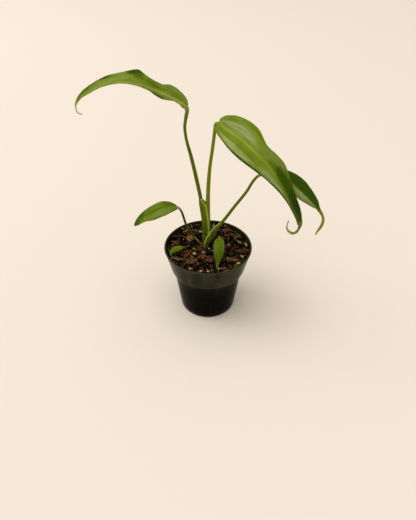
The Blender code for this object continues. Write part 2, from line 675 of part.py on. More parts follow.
def build_pot():
    """Build the pot: a turned shell with drain holes and notches through its foot."""
    bm = bmesh.new()
    verts = [bm.verts.new((radius, 0.0, height)) for radius, height in pot_profile()]
    edges = [bm.edges.new(pair) for pair in zip(verts, verts[1:])]
    bmesh.ops.spin(bm, geom=verts + edges, cent=(0, 0, 0), axis=(0, 0, 1), dvec=(0, 0, 0),
                   angle=math.tau, steps=ROUND_SEGMENTS, use_merge=True)
    bmesh.ops.remove_doubles(bm, verts=bm.verts, dist=1e-6)
    pot = add_object("pot", bm, make_material("pot plastic", (0.012, 0.014, 0.010), 0.28))

    cutters = bmesh.new()
    for k in range(DRAIN_COUNT):
        turn = math.tau * k / DRAIN_COUNT
        away = Vector((math.cos(turn), math.sin(turn), 0.0))
        add_prism(cutters, away * DRAIN_CIRCLE, (DRAIN_RADIUS, DRAIN_RADIUS),
                  -GUTTER, FLOOR_TOP + GUTTER, segments=16)
        made = bmesh.ops.create_cube(cutters, size=1.0)
        notch = (Matrix.Rotation(turn, 4, "Z")
                 @ Matrix.Translation((BASE_RADIUS - FOOT_WIDTH / 2, 0.0, 0.0))
                 @ Matrix.Diagonal((FOOT_WIDTH * 2, NOTCH_WIDTH, NOTCH_HEIGHT * 2, 1.0)))
        bmesh.ops.transform(cutters, matrix=notch, verts=made["verts"])
    cut_away(pot, add_cutter("cutter_drains", cutters))
    return pot


# Potting mix

def soil_height(x, y):
    """Height of the mix's lumpy surface: mounded round the plant and banked up at the back."""
    spot = Vector((x, y, 0.0))
    lumps = noise.fractal(spot / SOIL_LUMP, 1.0, 2.0, 3)
    mound = MOUND_HEIGHT * math.exp(-(spot - STEM_CENTRE).length_squared / MOUND_RADIUS ** 2)
    bank = SOIL_BANK * max(0.0, y / RIM_RADIUS) ** 1.5
    return SOIL_LEVEL + mound + bank + SOIL_RELIEF * lumps


def soil_ring(bm, radius, heights):
    """Add a level or lumpy ring of the plug's points."""
    return [bm.verts.new((radius * math.cos(math.tau * k / SOIL_SEGMENTS),
                          radius * math.sin(math.tau * k / SOIL_SEGMENTS), height))
            for k, height in enumerate(heights)]


def build_soil_plug():
    """Build the mix's body: a tapered plug with a lumpy top."""
    bm = bmesh.new()
    facet_gap = CLEARANCE * 1.6     # a little more than the gap, for its facets are flatter
    bottom = FLOOR_TOP + CLEARANCE
    edge = BASE_EDGE * 1.5
    rings = []
    for ring in range(1, SOIL_RINGS + 1):
        radius = (inside_radius(SOIL_LEVEL) - facet_gap) * ring / SOIL_RINGS
        turns = [math.tau * k / SOIL_SEGMENTS for k in range(SOIL_SEGMENTS)]
        rings.append(soil_ring(bm, radius, [
            soil_height(radius * math.cos(turn), radius * math.sin(turn)) for turn in turns]))
    for level, lift in ((BAND_BOTTOM + WALL, CLEARANCE), (BAND_BOTTOM, CLEARANCE),
                        (bottom + edge, 0.0)):
        rings.append(soil_ring(bm, inside_radius(level) - facet_gap,
                               [level + lift] * SOIL_SEGMENTS))
    rings.append(soil_ring(bm, inside_radius(bottom) - edge, [bottom] * SOIL_SEGMENTS))
    peak = bm.verts.new((0.0, 0.0, soil_height(0.0, 0.0)))
    for k in range(SOIL_SEGMENTS):
        bm.faces.new((peak, rings[0][k], rings[0][(k + 1) % SOIL_SEGMENTS]))
    for first, second in zip(rings, rings[1:]):
        for k in range(SOIL_SEGMENTS):
            m = (k + 1) % SOIL_SEGMENTS
            bm.faces.new((first[k], second[k], second[m]))
            bm.faces.new((first[k], second[m], first[m]))
    bm.faces.new(rings[-1])
    bmesh.ops.triangulate(bm, faces=[f for f in bm.faces if len(f.verts) > 3])
    return add_object("potting_mix", bm,
                      make_material("potting mix", (0.035, 0.020, 0.013), 0.9), smooth=False)


def clear_of_leaves(x, y, size):
    """Tell whether a lump of a size at a place is clear of the stem and the seedlings."""
    if math.hypot(x, y) + size > inside_radius(SOIL_LEVEL) - CLEAR_OF_WALL:
        return False
    if math.dist(STEM_CENTRE.xy, (x, y)) < max(STEM_SIZE) + size + CLEAR_OF_STEM:
        return False
    for leaf in LEAVES.values():
        for place in leaf.line:
            near = math.dist(place[:2], (x, y)) < size + CLEAR_OF_LEAF
            if near and place[2] < SOIL_LEVEL + LEAF_FOOT:
                return False
    return True


def lump(draw, spot, half_sizes, sunk):
    """Make one loose-cornered lump as a bmesh, sunk into the mix by a share of its height."""
    bm = bmesh.new()
    bmesh.ops.create_cube(bm, size=2.0)
    for vert in bm.verts:
        vert.co *= draw.uniform(*LUMP_CORNERS)
    tilt = (Matrix.Rotation(draw.uniform(0, math.tau), 4, "Z")
            @ Matrix.Rotation(draw.uniform(-LUMP_TILT, LUMP_TILT), 4, "X"))
    middle = spot + Vector((0.0, 0.0, half_sizes[2] * (1 - 2 * sunk)))
    place = Matrix.Translation(middle) @ tilt @ Matrix.Diagonal((*half_sizes, 1.0))
    bmesh.ops.transform(bm, matrix=place, verts=bm.verts)
    bmesh.ops.triangulate(bm, faces=bm.faces)
    return bm


def scatter_lumps(draw, plug, kind, count, sizes, gap, taken):
    """Place lumps of a kind by rejection, clear of one another, and return their objects."""
    made = []
    while len(made) < count:
        length = draw.uniform(*sizes[0])
        width = length * draw.uniform(*sizes[1])
        thick = draw.uniform(*sizes[2])
        radius = inside_radius(SOIL_LEVEL) * math.sqrt(draw.random())
        turn = draw.uniform(0, math.tau)
        x, y = radius * math.cos(turn), radius * math.sin(turn)
        if not clear_of_leaves(x, y, length):
            continue
        if any(math.dist((x, y), other[:2]) < gap * (length + other[2]) for other in taken):
            continue
        taken.append((x, y, length))
        spot = plug.ray_cast(Vector((x, y, POT_HEIGHT)), Vector((0.0, 0.0, -1.0)))[1]
        bm = lump(draw, spot, (length, width, thick), draw.uniform(*LUMP_SUNK))
        made.append(add_object(kind, bm, None, smooth=False))
    return made


def build_potting_mix():
    """Build the mix with its bark and grains fused in, and its holes for stem and leaves."""
    draw = random.Random(SOIL_SEED)
    plug = build_soil_plug()
    taken = []
    lumps = scatter_lumps(draw, plug, "bark", BARK_COUNT, BARK_SIZES, BARK_GAP, taken)
    lumps += scatter_lumps(draw, plug, "grain", GRAIN_COUNT, GRAIN_SIZES, GRAIN_GAP, taken)
    group = bpy.data.collections.new("lumps")
    for item in lumps:
        bpy.context.scene.collection.objects.unlink(item)
        group.objects.link(item)
    bpy.context.scene.collection.children.link(group)
    join = plug.modifiers.new("fuse lumps", "BOOLEAN")
    join.operation = "UNION"
    join.operand_type = "COLLECTION"
    join.collection = group
    bpy.context.view_layer.objects.active = plug
    bpy.ops.object.modifier_apply(modifier=join.name)
    for item in lumps:
        bpy.data.objects.remove(item, do_unlink=True)
    bpy.data.collections.remove(group)

    holes = bmesh.new()
    add_prism(holes, STEM_CENTRE, (STEM_SIZE[0] + CLEARANCE, STEM_SIZE[1] + CLEARANCE),
              STEM_BOTTOM - CLEARANCE, POT_HEIGHT)
    for number in (5, 6):
        foot = Vector(LEAVES[number].line[0])
        top = Vector(LEAVES[number].line[1])
        way = (top - foot).normalized()
        made = bmesh.ops.create_cone(
            holes, cap_ends=True, segments=12, radius1=SEEDLING_HOLE[0],
            radius2=SEEDLING_HOLE[0], depth=SEEDLING_HOLE[1])
        place = (Matrix.Translation(foot + way * (SEEDLING_HOLE[1] / 2 - 2 * CLEARANCE))
                 @ way.to_track_quat("Z", "Y").to_matrix().to_4x4())
        bmesh.ops.transform(holes, matrix=place, verts=made["verts"])
    cut_away(plug, add_cutter("cutter_planting_holes", holes))
    return plug


def build_stem():
    """Build the stem stub that all the tall leaves stand on."""
    bm = bmesh.new()
    add_prism(bm, STEM_CENTRE, STEM_SIZE, STEM_BOTTOM, STEM_TOP)
    for vert in bm.verts:
        if vert.co.z < STEM_TOP - CLEARANCE:
            vert.co.xy = STEM_CENTRE.xy.lerp(vert.co.xy, STEM_TAPER)
    return add_object("stem", bm, make_material("stem", (0.12, 0.20, 0.03), 0.5))


def build_leaves():
    """Build every leaf: petioles and blades of the four tall ones, and the two seedlings."""
    petiole_colours = {1: (0.075, 0.145, 0.012), 2: (0.150, 0.185, 0.012),
                       3: (0.085, 0.150, 0.014), 4: (0.060, 0.120, 0.015)}
    blade_colours = {1: (0.105, 0.190, 0.030), 2: (0.115, 0.205, 0.040),
                     3: (0.060, 0.140, 0.022), 4: (0.070, 0.150, 0.030)}
    bundle = bmesh.new()
    add_prism(bundle, BUNDLE_CENTRE, (BUNDLE_SIZE[0] + CLEARANCE, BUNDLE_SIZE[1] + CLEARANCE),
              STEM_BOTTOM, BUNDLE_TOP, segments=32)
    bundle_cutter = add_cutter("cutter_bundle", bundle)
    for number in (1, 2, 3, 4):
        leaf = LEAVES[number]
        green = make_material(f"petiole {number}", petiole_colours[number], 0.42)
        name = f"petiole_{number}"
        if number in SHEATHS:
            petiole = build_petiole(name, leaf, SHEATHS[number], green)
        else:
            petiole = build_plain_petiole(name, leaf, green)
        if number in (3, 4):
            cut_away(petiole, bundle_cutter)
        build_blade(f"blade_{number}", leaf,
                    make_material(f"blade {number}", blade_colours[number], 0.38))
    young = make_material("seedling leaf", (0.130, 0.230, 0.020), 0.40)
    build_blade("seedling_leaf_left", LEAVES[5], young)
    build_blade("seedling_leaf_front", LEAVES[6], young)


def main():
    """Build the whole potted plant."""
    clear_scene()
    build_pot()
    build_potting_mix()
    build_stem()
    build_leaves()


main()
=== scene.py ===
"""Looks for the potted flame monstera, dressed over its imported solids.

Lengths are metres, +Z is up, and the origin is the middle of the pot's flat underside.
"""

import bisect
import logging
import math
import random
from dataclasses import dataclass, field
from enum import Enum
from typing import Any, Callable, Sequence

import bpy
import numpy as np
from mathutils import Matrix, Vector, noise


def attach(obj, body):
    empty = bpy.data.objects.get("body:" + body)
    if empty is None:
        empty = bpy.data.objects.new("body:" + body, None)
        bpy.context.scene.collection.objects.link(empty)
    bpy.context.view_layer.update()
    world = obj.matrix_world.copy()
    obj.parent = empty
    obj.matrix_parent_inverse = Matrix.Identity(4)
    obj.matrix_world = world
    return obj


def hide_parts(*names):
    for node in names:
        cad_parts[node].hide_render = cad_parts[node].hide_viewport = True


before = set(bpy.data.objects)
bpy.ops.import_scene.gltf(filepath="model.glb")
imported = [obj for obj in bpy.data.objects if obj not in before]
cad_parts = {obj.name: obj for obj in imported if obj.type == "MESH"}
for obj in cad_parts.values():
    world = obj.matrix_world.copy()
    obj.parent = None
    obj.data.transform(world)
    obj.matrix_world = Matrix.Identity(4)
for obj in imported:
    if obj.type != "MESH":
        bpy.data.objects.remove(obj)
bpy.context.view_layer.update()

log = logging.getLogger("plant")

Point = tuple[float, float, float]
Colour = tuple[float, float, float]
Span = tuple[float, float]
Keys = tuple[Span, ...]


# Shader sheets

class Value:
    """A number in a material, whose arithmetic adds Math nodes."""

    def __init__(self, sheet: "Sheet", socket: bpy.types.NodeSocket) -> None:
        """Keep the sheet and the socket that gives the number."""
        self.sheet = sheet
        self.socket = socket

    def __add__(self, other: "Number") -> "Value":
        """Sum of two numbers."""
        return self.sheet.maths("ADD", self, other)

    __radd__ = __add__

    def __sub__(self, other: "Number") -> "Value":
        """This number less another."""
        return self.sheet.maths("SUBTRACT", self, other)

    def __rsub__(self, other: "Number") -> "Value":
        """Another number less this one."""
        return self.sheet.maths("SUBTRACT", other, self)

    def __mul__(self, other: "Number") -> "Value":
        """Product of two numbers."""
        return self.sheet.maths("MULTIPLY", self, other)

    __rmul__ = __mul__

    def __truediv__(self, other: "Number") -> "Value":
        """This number over another."""
        return self.sheet.maths("DIVIDE", self, other)

    def __pow__(self, other: "Number") -> "Value":
        """This number to a power."""
        return self.sheet.maths("POWER", self, other)

    def __abs__(self) -> "Value":
        """Size of the number without its sign."""
        return self.sheet.maths("ABSOLUTE", self)

    def __mod__(self, other: "Number") -> "Value":
        """Remainder, always positive."""
        return self.sheet.maths("FLOORED_MODULO", self, other)

    def step(self, low: float, high: float) -> "Value":
        """Rise smoothly from 0 at low to 1 at high.

        Args:
            low: where it starts to rise.
            high: where it has risen.

        Returns:
            The risen number.
        """
        node = self.sheet.node("ShaderNodeMapRange", {"interpolation_type": "SMOOTHSTEP"},
                               {"Value": self, "From Min": low, "From Max": high})
        return Value(self.sheet, node.outputs["Result"])


Number = float | Value


class Sheet:
    """The node sheet of one material; its numbers are a Mix node's sockets for colours."""

    MIX_SHARE, MIX_A, MIX_B, MIX_RESULT = 0, 6, 7, 2

    def __init__(self, name: str) -> None:
        """Start a material that has one Principled shader.

        Args:
            name: name of the material.
        """
        self.material = bpy.data.materials.new(name)
        self.material.use_nodes = True
        self.tree = self.material.node_tree
        self.shader = self.tree.nodes["Principled BSDF"]

    def feed(self, socket: bpy.types.NodeSocket, value: Any) -> None:
        """Link a socket to a value of the sheet, or set it to a plain one.

        Args:
            socket: the socket.
            value: a value, a socket or a plain value.
        """
        if isinstance(value, Value):
            value = value.socket
        if isinstance(value, bpy.types.NodeSocket):
            self.tree.links.new(value, socket)
        elif isinstance(value, tuple) and len(value) == 3 and socket.type == "RGBA":
            socket.default_value = (*value, 1.0)
        else:
            socket.default_value = value

    def node(self, kind: str, settings: dict[str, Any] | None = None,
             inputs: dict[str | int, Any] | None = None) -> bpy.types.Node:
        """Add a node.

        Args:
            kind: the node's type.
            settings: its own settings, which are set first.
            inputs: values or links of its sockets, by name or number.

        Returns:
            The node.
        """
        made = self.tree.nodes.new(kind)
        for name, value in (settings or {}).items():
            setattr(made, name, value)
        for name, value in (inputs or {}).items():
            self.feed(made.inputs[name], value)
        return made

    def maths(self, operation: str, *terms: Number) -> Value:
        """Add a Math node on numbers and return its result."""
        node = self.node("ShaderNodeMath", {"operation": operation}, dict(enumerate(terms)))
        return Value(self, node.outputs[0])

    def mix(self, share: Number, first: Any, second: Any) -> bpy.types.NodeSocket:
        """Mix two colours.

        Args:
            share: how much of the second colour there is.
            first: a colour or the socket of one.
            second: the same.

        Returns:
            The socket of the mixed colour.
        """
        node = self.node("ShaderNodeMix", {"data_type": "RGBA"},
                         {self.MIX_SHARE: share, self.MIX_A: first, self.MIX_B: second})
        return node.outputs[self.MIX_RESULT]

    def layers(self, ground: Any, *coats: tuple[Number, Any]) -> bpy.types.NodeSocket:
        """Lay colours over a ground, one after another.

        Args:
            ground: a colour or the socket of one.
            coats: how much of each further colour there is, and the colour.

        Returns:
            The socket of the finished colour.
        """
        for share, colour in coats:
            ground = self.mix(share, ground, colour)
        return ground

    def measure(self, name: str) -> Value:
        """Read a named number that the mesh carries."""
        node = self.node("ShaderNodeAttribute", {"attribute_name": name})
        return Value(self, node.outputs["Fac"])

    def measures(self, *names: str) -> list[Value]:
        """Read several named numbers that the mesh carries."""
        return [self.measure(name) for name in names]

    def place(self) -> bpy.types.NodeSocket:
        """Position on the object."""
        return self.node("ShaderNodeTexCoord").outputs["Object"]

    def vector(self, x: Number, y: Number, z: Number) -> bpy.types.NodeSocket:
        """Join three numbers into a position."""
        return self.node("ShaderNodeCombineXYZ", None, {0: x, 1: y, 2: z}).outputs[0]

    def local(self, name: str, stretch: Point) -> bpy.types.NodeSocket:
        """Read a named position that the mesh carries, scaled on each axis.

        Args:
            name: name of the position.
            stretch: scale on each axis.

        Returns:
            The socket of the scaled position.
        """
        found = self.node("ShaderNodeAttribute", {"attribute_name": name}).outputs["Vector"]
        return self.node("ShaderNodeVectorMath", {"operation": "MULTIPLY"},
                         {0: found, 1: stretch}).outputs[0]

    def clouds(self, scale: float, detail: float = 2.0, roughness: float = 0.5,
               where: bpy.types.NodeSocket | None = None) -> Value:
        """Soft noise from 0 to 1, on the object's position unless another is given.

        Args:
            scale: clouds a metre.
            detail: how many finer layers.
            roughness: how strong these are.
            where: another position.

        Returns:
            The noise.
        """
        node = self.node("ShaderNodeTexNoise", None,
                         {"Vector": where or self.place(), "Scale": scale, "Detail": detail,
                          "Roughness": roughness})
        return Value(self, node.outputs[0])

    def cells(self, scale: float, feature: str = "F1") -> Value:
        """Distance in a cell pattern, on the object's position.

        Args:
            scale: cells a metre.
            feature: what is measured.

        Returns:
            The distance.
        """
        node = self.node("ShaderNodeTexVoronoi", {"feature": feature},
                         {"Vector": self.place(), "Scale": scale})
        return Value(self, node.outputs["Distance"])

    def bump(self, height: Number, depth: float, strength: float = 1.0,
             under: bpy.types.NodeSocket | None = None) -> bpy.types.NodeSocket:
        """Raise the surface by a height, in metres at 1, over an earlier bump.

        Args:
            height: the height.
            depth: metres at a height of 1.
            strength: how strongly it shows.
            under: the earlier bump.

        Returns:
            The socket of the new normal.
        """
        inputs = {"Height": height, "Distance": depth, "Strength": strength}
        if under is not None:
            inputs["Normal"] = under
        return self.node("ShaderNodeBump", None, inputs).outputs[0]

    def coat_with(self, **sockets: Any) -> bpy.types.Material:
        """Feed the shader's sockets, named with underscores, and return the material.

        Args:
            sockets: what each socket is fed with.

        Returns:
            The material.
        """
        for name, value in sockets.items():
            self.feed(self.shader.inputs[name.replace("_", " ")], value)
        return self.material


# Hand tools

CLOSE = 1e-5                    # points nearer than this lie at the same place


class Bench:
    """Modelling by hand: every call works on what it has picked itself."""

    @staticmethod
    def clear() -> None:
        """Leave edit mode and deselect everything."""
        if bpy.context.object and bpy.context.object.mode != "OBJECT":
            bpy.ops.object.mode_set(mode="OBJECT")
        bpy.ops.object.select_all(action="DESELECT")

    @staticmethod
    def pick(item: bpy.types.Object) -> None:
        """Select one object alone and make it the active one.

        Args:
            item: the object.
        """
        Bench.clear()
        item.select_set(True)
        bpy.context.view_layer.objects.active = item

    @staticmethod
    def named(name: str) -> bpy.types.Object:
        """Name the object that has just been added.

        Args:
            name: its name.

        Returns:
            The object.
        """
        item = bpy.context.object
        item.name = name
        item.data.name = name
        return item

    @staticmethod
    def modify(item: bpy.types.Object, kind: str, **settings: Any) -> None:
        """Add a modifier with its settings and apply it.

        Args:
            item: the object.
            kind: the modifier's type.
            settings: the modifier's settings.
        """
        Bench.pick(item)
        modifier = item.modifiers.new(kind.lower(), kind)
        for name, value in settings.items():
            setattr(modifier, name, value)
        bpy.ops.object.modifier_apply(modifier=modifier.name)

    @staticmethod
    def edit() -> None:
        """Enter edit mode on the active object, with everything selected."""
        bpy.ops.object.mode_set(mode="EDIT")
        bpy.ops.mesh.select_all(action="SELECT")

    @staticmethod
    def extrude(rise: float) -> None:
        """Draw what is selected up by a height."""
        bpy.ops.mesh.extrude_region_move(TRANSFORM_OT_translate={"value": (0.0, 0.0, rise)})

    @staticmethod
    def face_outwards() -> None:
        """Turn every face of the edited mesh outwards and leave edit mode."""
        bpy.ops.mesh.select_all(action="SELECT")
        bpy.ops.mesh.normals_make_consistent(inside=False)
        bpy.ops.object.mode_set(mode="OBJECT")

    @staticmethod
    def select_edges(item: bpy.types.Object, test: Callable[[Vector, Vector], bool]) -> None:
        """Select the edges of the edited mesh whose two ends pass a test.

        Args:
            item: the object.
            test: tells whether an edge with two ends is selected.
        """
        bpy.ops.object.mode_set(mode="OBJECT")
        mesh = item.data
        for face in mesh.polygons:
            face.select = False
        for vert in mesh.vertices:
            vert.select = False
        for edge in mesh.edges:
            first, second = (mesh.vertices[k] for k in edge.vertices)
            edge.select = test(first.co, second.co)
            if edge.select:
                first.select = second.select = True
        bpy.ops.object.mode_set(mode="EDIT")
        bpy.ops.mesh.select_mode(type="EDGE")

    @staticmethod
    def grid(name: str, columns: int, rows: int, places: np.ndarray) -> bpy.types.Object:
        """Add a flat grid and lay its points on a surface.

        Args:
            name: name of the object.
            columns: points across.
            rows: points along.
            places: their positions, row by row.

        Returns:
            The object.
        """
        Bench.clear()
        bpy.ops.mesh.primitive_grid_add(x_subdivisions=columns - 1, y_subdivisions=rows - 1,
                                        size=1.0, calc_uvs=False)
        item = Bench.named(name)
        item.data.vertices.foreach_set("co", places.astype(np.float32).ravel())
        item.data.update()
        return item

    @staticmethod
    def dress(item: bpy.types.Object, angle: float, *materials: bpy.types.Material) -> None:
        """Give an object its materials and shade it smoothly.

        Args:
            item: the object.
            angle: edges sharper than this, in degrees, stay sharp.
            materials: its materials, in the order of their slots.
        """
        for material in materials:
            item.data.materials.append(material)
        Bench.pick(item)
        bpy.ops.object.shade_smooth_by_angle(angle=math.radians(angle))

    @staticmethod
    def measure(item: bpy.types.Object, **measures: Any) -> None:
        """Let a mesh carry named numbers, or named positions, at each of its points.

        Args:
            item: the object.
            measures: the values of each measure, point by point.
        """
        for name, values in measures.items():
            data = np.asarray(values, np.float32)
            kind, slot = ("FLOAT_VECTOR", "vector") if data.ndim == 2 else ("FLOAT", "value")
            made = item.data.attributes.new(name, kind, "POINT")
            made.data.foreach_set(slot, data.ravel())


def hand_over(item: bpy.types.Object, slot: str, *nodes: str) -> None:
    """Let a finished piece ride on the part, hide the solids it stands for and log them.

    Args:
        item: the piece.
        slot: name of its finish; not used.
        nodes: the solids that it replaces.
    """
    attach(item, "root")
    if nodes:
        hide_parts(*nodes)
    faces = sum(len(face.vertices) - 2 for face in item.data.polygons)
    log.info("%s: %d triangles for %s", item.name, faces, ", ".join(nodes) or "itself")


# Smooth lines

def clamp(value: float) -> float:
    """Keep a number between 0 and 1."""
    return min(1.0, max(0.0, value))


def swing(value: float) -> float:
    """Rise smoothly from 0 to 1 with a number that does the same."""
    return value * value * (3 - 2 * value)


def bell(away: float) -> float:
    """Fall smoothly from 1, on both sides of 0, to a third at 1."""
    return math.exp(-away ** 2)


def ease(start: Any, end: Any, slope_in: Any, slope_out: Any, span: float, u: float) -> Any:
    """Cubic between two values with given slopes."""
    return ((2 * u ** 3 - 3 * u ** 2 + 1) * start + (u ** 3 - 2 * u ** 2 + u) * span * slope_in
            + (3 * u ** 2 - 2 * u ** 3) * end + (u ** 3 - u ** 2) * span * slope_out)


def read(keys: Keys, where: float) -> float:
    """Read a smooth value from (place, value) keys, without overshoot.

    Args:
        keys: the keys, in order.
        where: place to read at.

    Returns:
        The value there.
    """
    places = [key[0] for key in keys]
    values = [key[1] for key in keys]
    where = min(max(where, places[0]), places[-1])
    rises = [(values[i + 1] - values[i]) / (places[i + 1] - places[i])
             for i in range(len(keys) - 1)]
    slopes = [rises[0]]
    slopes += [0.0 if a * b <= 0 else 2 * a * b / (a + b) for a, b in zip(rises, rises[1:])]
    slopes.append(rises[-1])
    i = min(max(bisect.bisect_left(places, where) - 1, 0), len(keys) - 2)
    span = places[i + 1] - places[i]
    return ease(values[i], values[i + 1], slopes[i], slopes[i + 1], span,
                (where - places[i]) / span)


def square_to(direction: Vector, tangent: Vector) -> Vector:
    """Part of a direction that is square to a tangent, at unit length."""
    return (direction - direction.dot(tangent) * tangent).normalized()


@dataclass(frozen=True)
class Station:
    """One place on a route: its share of the stretch, its length, its point and its heading."""

    share: float
    length: float
    point: Vector
    tangent: Vector


class Route:
    """Smooth line through knots, kept as close-set points and their lengths."""

    STEP = 0.00025

    def __init__(self, knots: Sequence[Point]) -> None:
        """Lay the line through the knots.

        Args:
            knots: points that the line passes through.
        """
        points = [Vector(p) for p in knots]
        marks = [0.0]
        for a, b in zip(points, points[1:]):
            marks.append(marks[-1] + (b - a).length)
        slopes = self._slopes(points, marks)
        self.line = [points[0]]
        at_knots = [0]
        for i, (a, b) in enumerate(zip(points, points[1:])):
            span = marks[i + 1] - marks[i]
            steps = max(2, math.ceil(span / self.STEP))
            self.line += [ease(a, b, slopes[i], slopes[i + 1], span, k / steps)
                          for k in range(1, steps + 1)]
            at_knots.append(len(self.line) - 1)
        self.lengths = [0.0]
        for a, b in zip(self.line, self.line[1:]):
            self.lengths.append(self.lengths[-1] + (b - a).length)
        self.knots = [self.lengths[k] for k in at_knots]

    @staticmethod
    def _slopes(points: list[Vector], marks: list[float]) -> list[Vector]:
        """Slopes of the line at its knots.

        Args:
            points: the knots.
            marks: straight length up to each knot.

        Returns:
            The slope at each knot.
        """
        inner = []
        for i in range(1, len(points) - 1):
            before = (points[i] - points[i - 1]) / (marks[i] - marks[i - 1])
            after = (points[i + 1] - points[i]) / (marks[i + 1] - marks[i])
            share = (marks[i] - marks[i - 1]) / (marks[i + 1] - marks[i - 1])
            inner.append(before * (1 - share) + after * share)
        first = 2 * (points[1] - points[0]) / (marks[1] - marks[0]) - inner[0]
        last = 2 * (points[-1] - points[-2]) / (marks[-1] - marks[-2]) - inner[-1]
        return [first, *inner, last]

    def at(self, place: float) -> Vector:
        """Point at a length along the line.

        Args:
            place: the length.

        Returns:
            The point.
        """
        k = min(max(bisect.bisect_right(self.lengths, place) - 1, 0), len(self.line) - 2)
        part = (place - self.lengths[k]) / (self.lengths[k + 1] - self.lengths[k])
        return self.line[k].lerp(self.line[k + 1], part)

    def walk(self, start: float, end: float, step: float, turn: float) -> list[Station]:
        """Stations along a stretch.

        Args:
            start: length at which the stretch starts.
            end: length at which it ends.
            step: spacing of the stations.
            turn: angle in degrees after which one comes in any case.

        Returns:
            The stations, close together in a bend.
        """
        inside = [k for k in range(1, len(self.line) - 1) if start < self.lengths[k] < end]
        places = [start] + [self.lengths[k] for k in inside] + [end]
        ways = [(self.line[k + 1] - self.line[k - 1]).normalized() for k in inside]
        ways = [ways[0], *ways, ways[-1]]
        effort = [0.0]
        for k in range(1, len(places)):
            effort.append(effort[-1] + (places[k] - places[k - 1]) / step
                          + math.degrees(ways[k].angle(ways[k - 1])) / turn)
        count = max(4, round(effort[-1]))
        found = []
        for number in range(count + 1):
            want = effort[-1] * number / count
            k = min(max(bisect.bisect_right(effort, want) - 1, 0), len(effort) - 2)
            part = (want - effort[k]) / max(effort[k + 1] - effort[k], 1e-12)
            place = places[k] + (places[k + 1] - places[k]) * part
            tangent = ways[k].lerp(ways[k + 1], part).normalized()
            found.append(Station((place - start) / (end - start), place, self.at(place), tangent))
        return found


# Finishes

# A step() gives the two readings of a pattern between which a tone sets in, and the factor
# after it gives how much of that tone shows at most.

# Several leaf tones are painted light: the dark, shady and deepest greens are painted shade, grey
# and pale are painted sheen, olive is a painted grazing reflection and brown is painted shade
# under a curled margin; the dark green also tints stain blots on the stalks.
SHADE_AND_STAIN_DARK = (0.024, 0.064, 0.0002)
SHADY = (0.068, 0.122, 0.001)
STREAK = (0.050, 0.115, 0.001)
FRESH = (0.165, 0.250, 0.005)
SHEEN_GREY = (0.255, 0.310, 0.085)
SHEEN_PALE = (0.385, 0.440, 0.172)
OLIVE_GRAZING_SHEEN = (0.340, 0.330, 0.070)
BROWN_MARGIN_SHADE = (0.130, 0.105, 0.018)
DRY = (0.230, 0.165, 0.065)
DEEPEST_SHADE = (0.006, 0.022, 0.0001)
WARM_GLOSS = (1.0, 1.0, 0.35, 1.0)
VEIN_SLANT = 1.15               # how far a side vein runs on for each length it runs out
SPREAD = 1.0                    # scale of a pattern that is read from stretched places


@dataclass(frozen=True)
class Patch:
    """Soft-edged area of another tone on a blade, mostly painted shade and painted sheen.

    share, side: its middle, along the blade and from -1 at the left margin to 1 at the right.
    reach: how far it runs from there, in the same two measures.
    tone: its colour.
    amount: how strongly it covers the green.
    """

    share: float
    side: float
    reach: Span
    tone: Colour
    amount: float


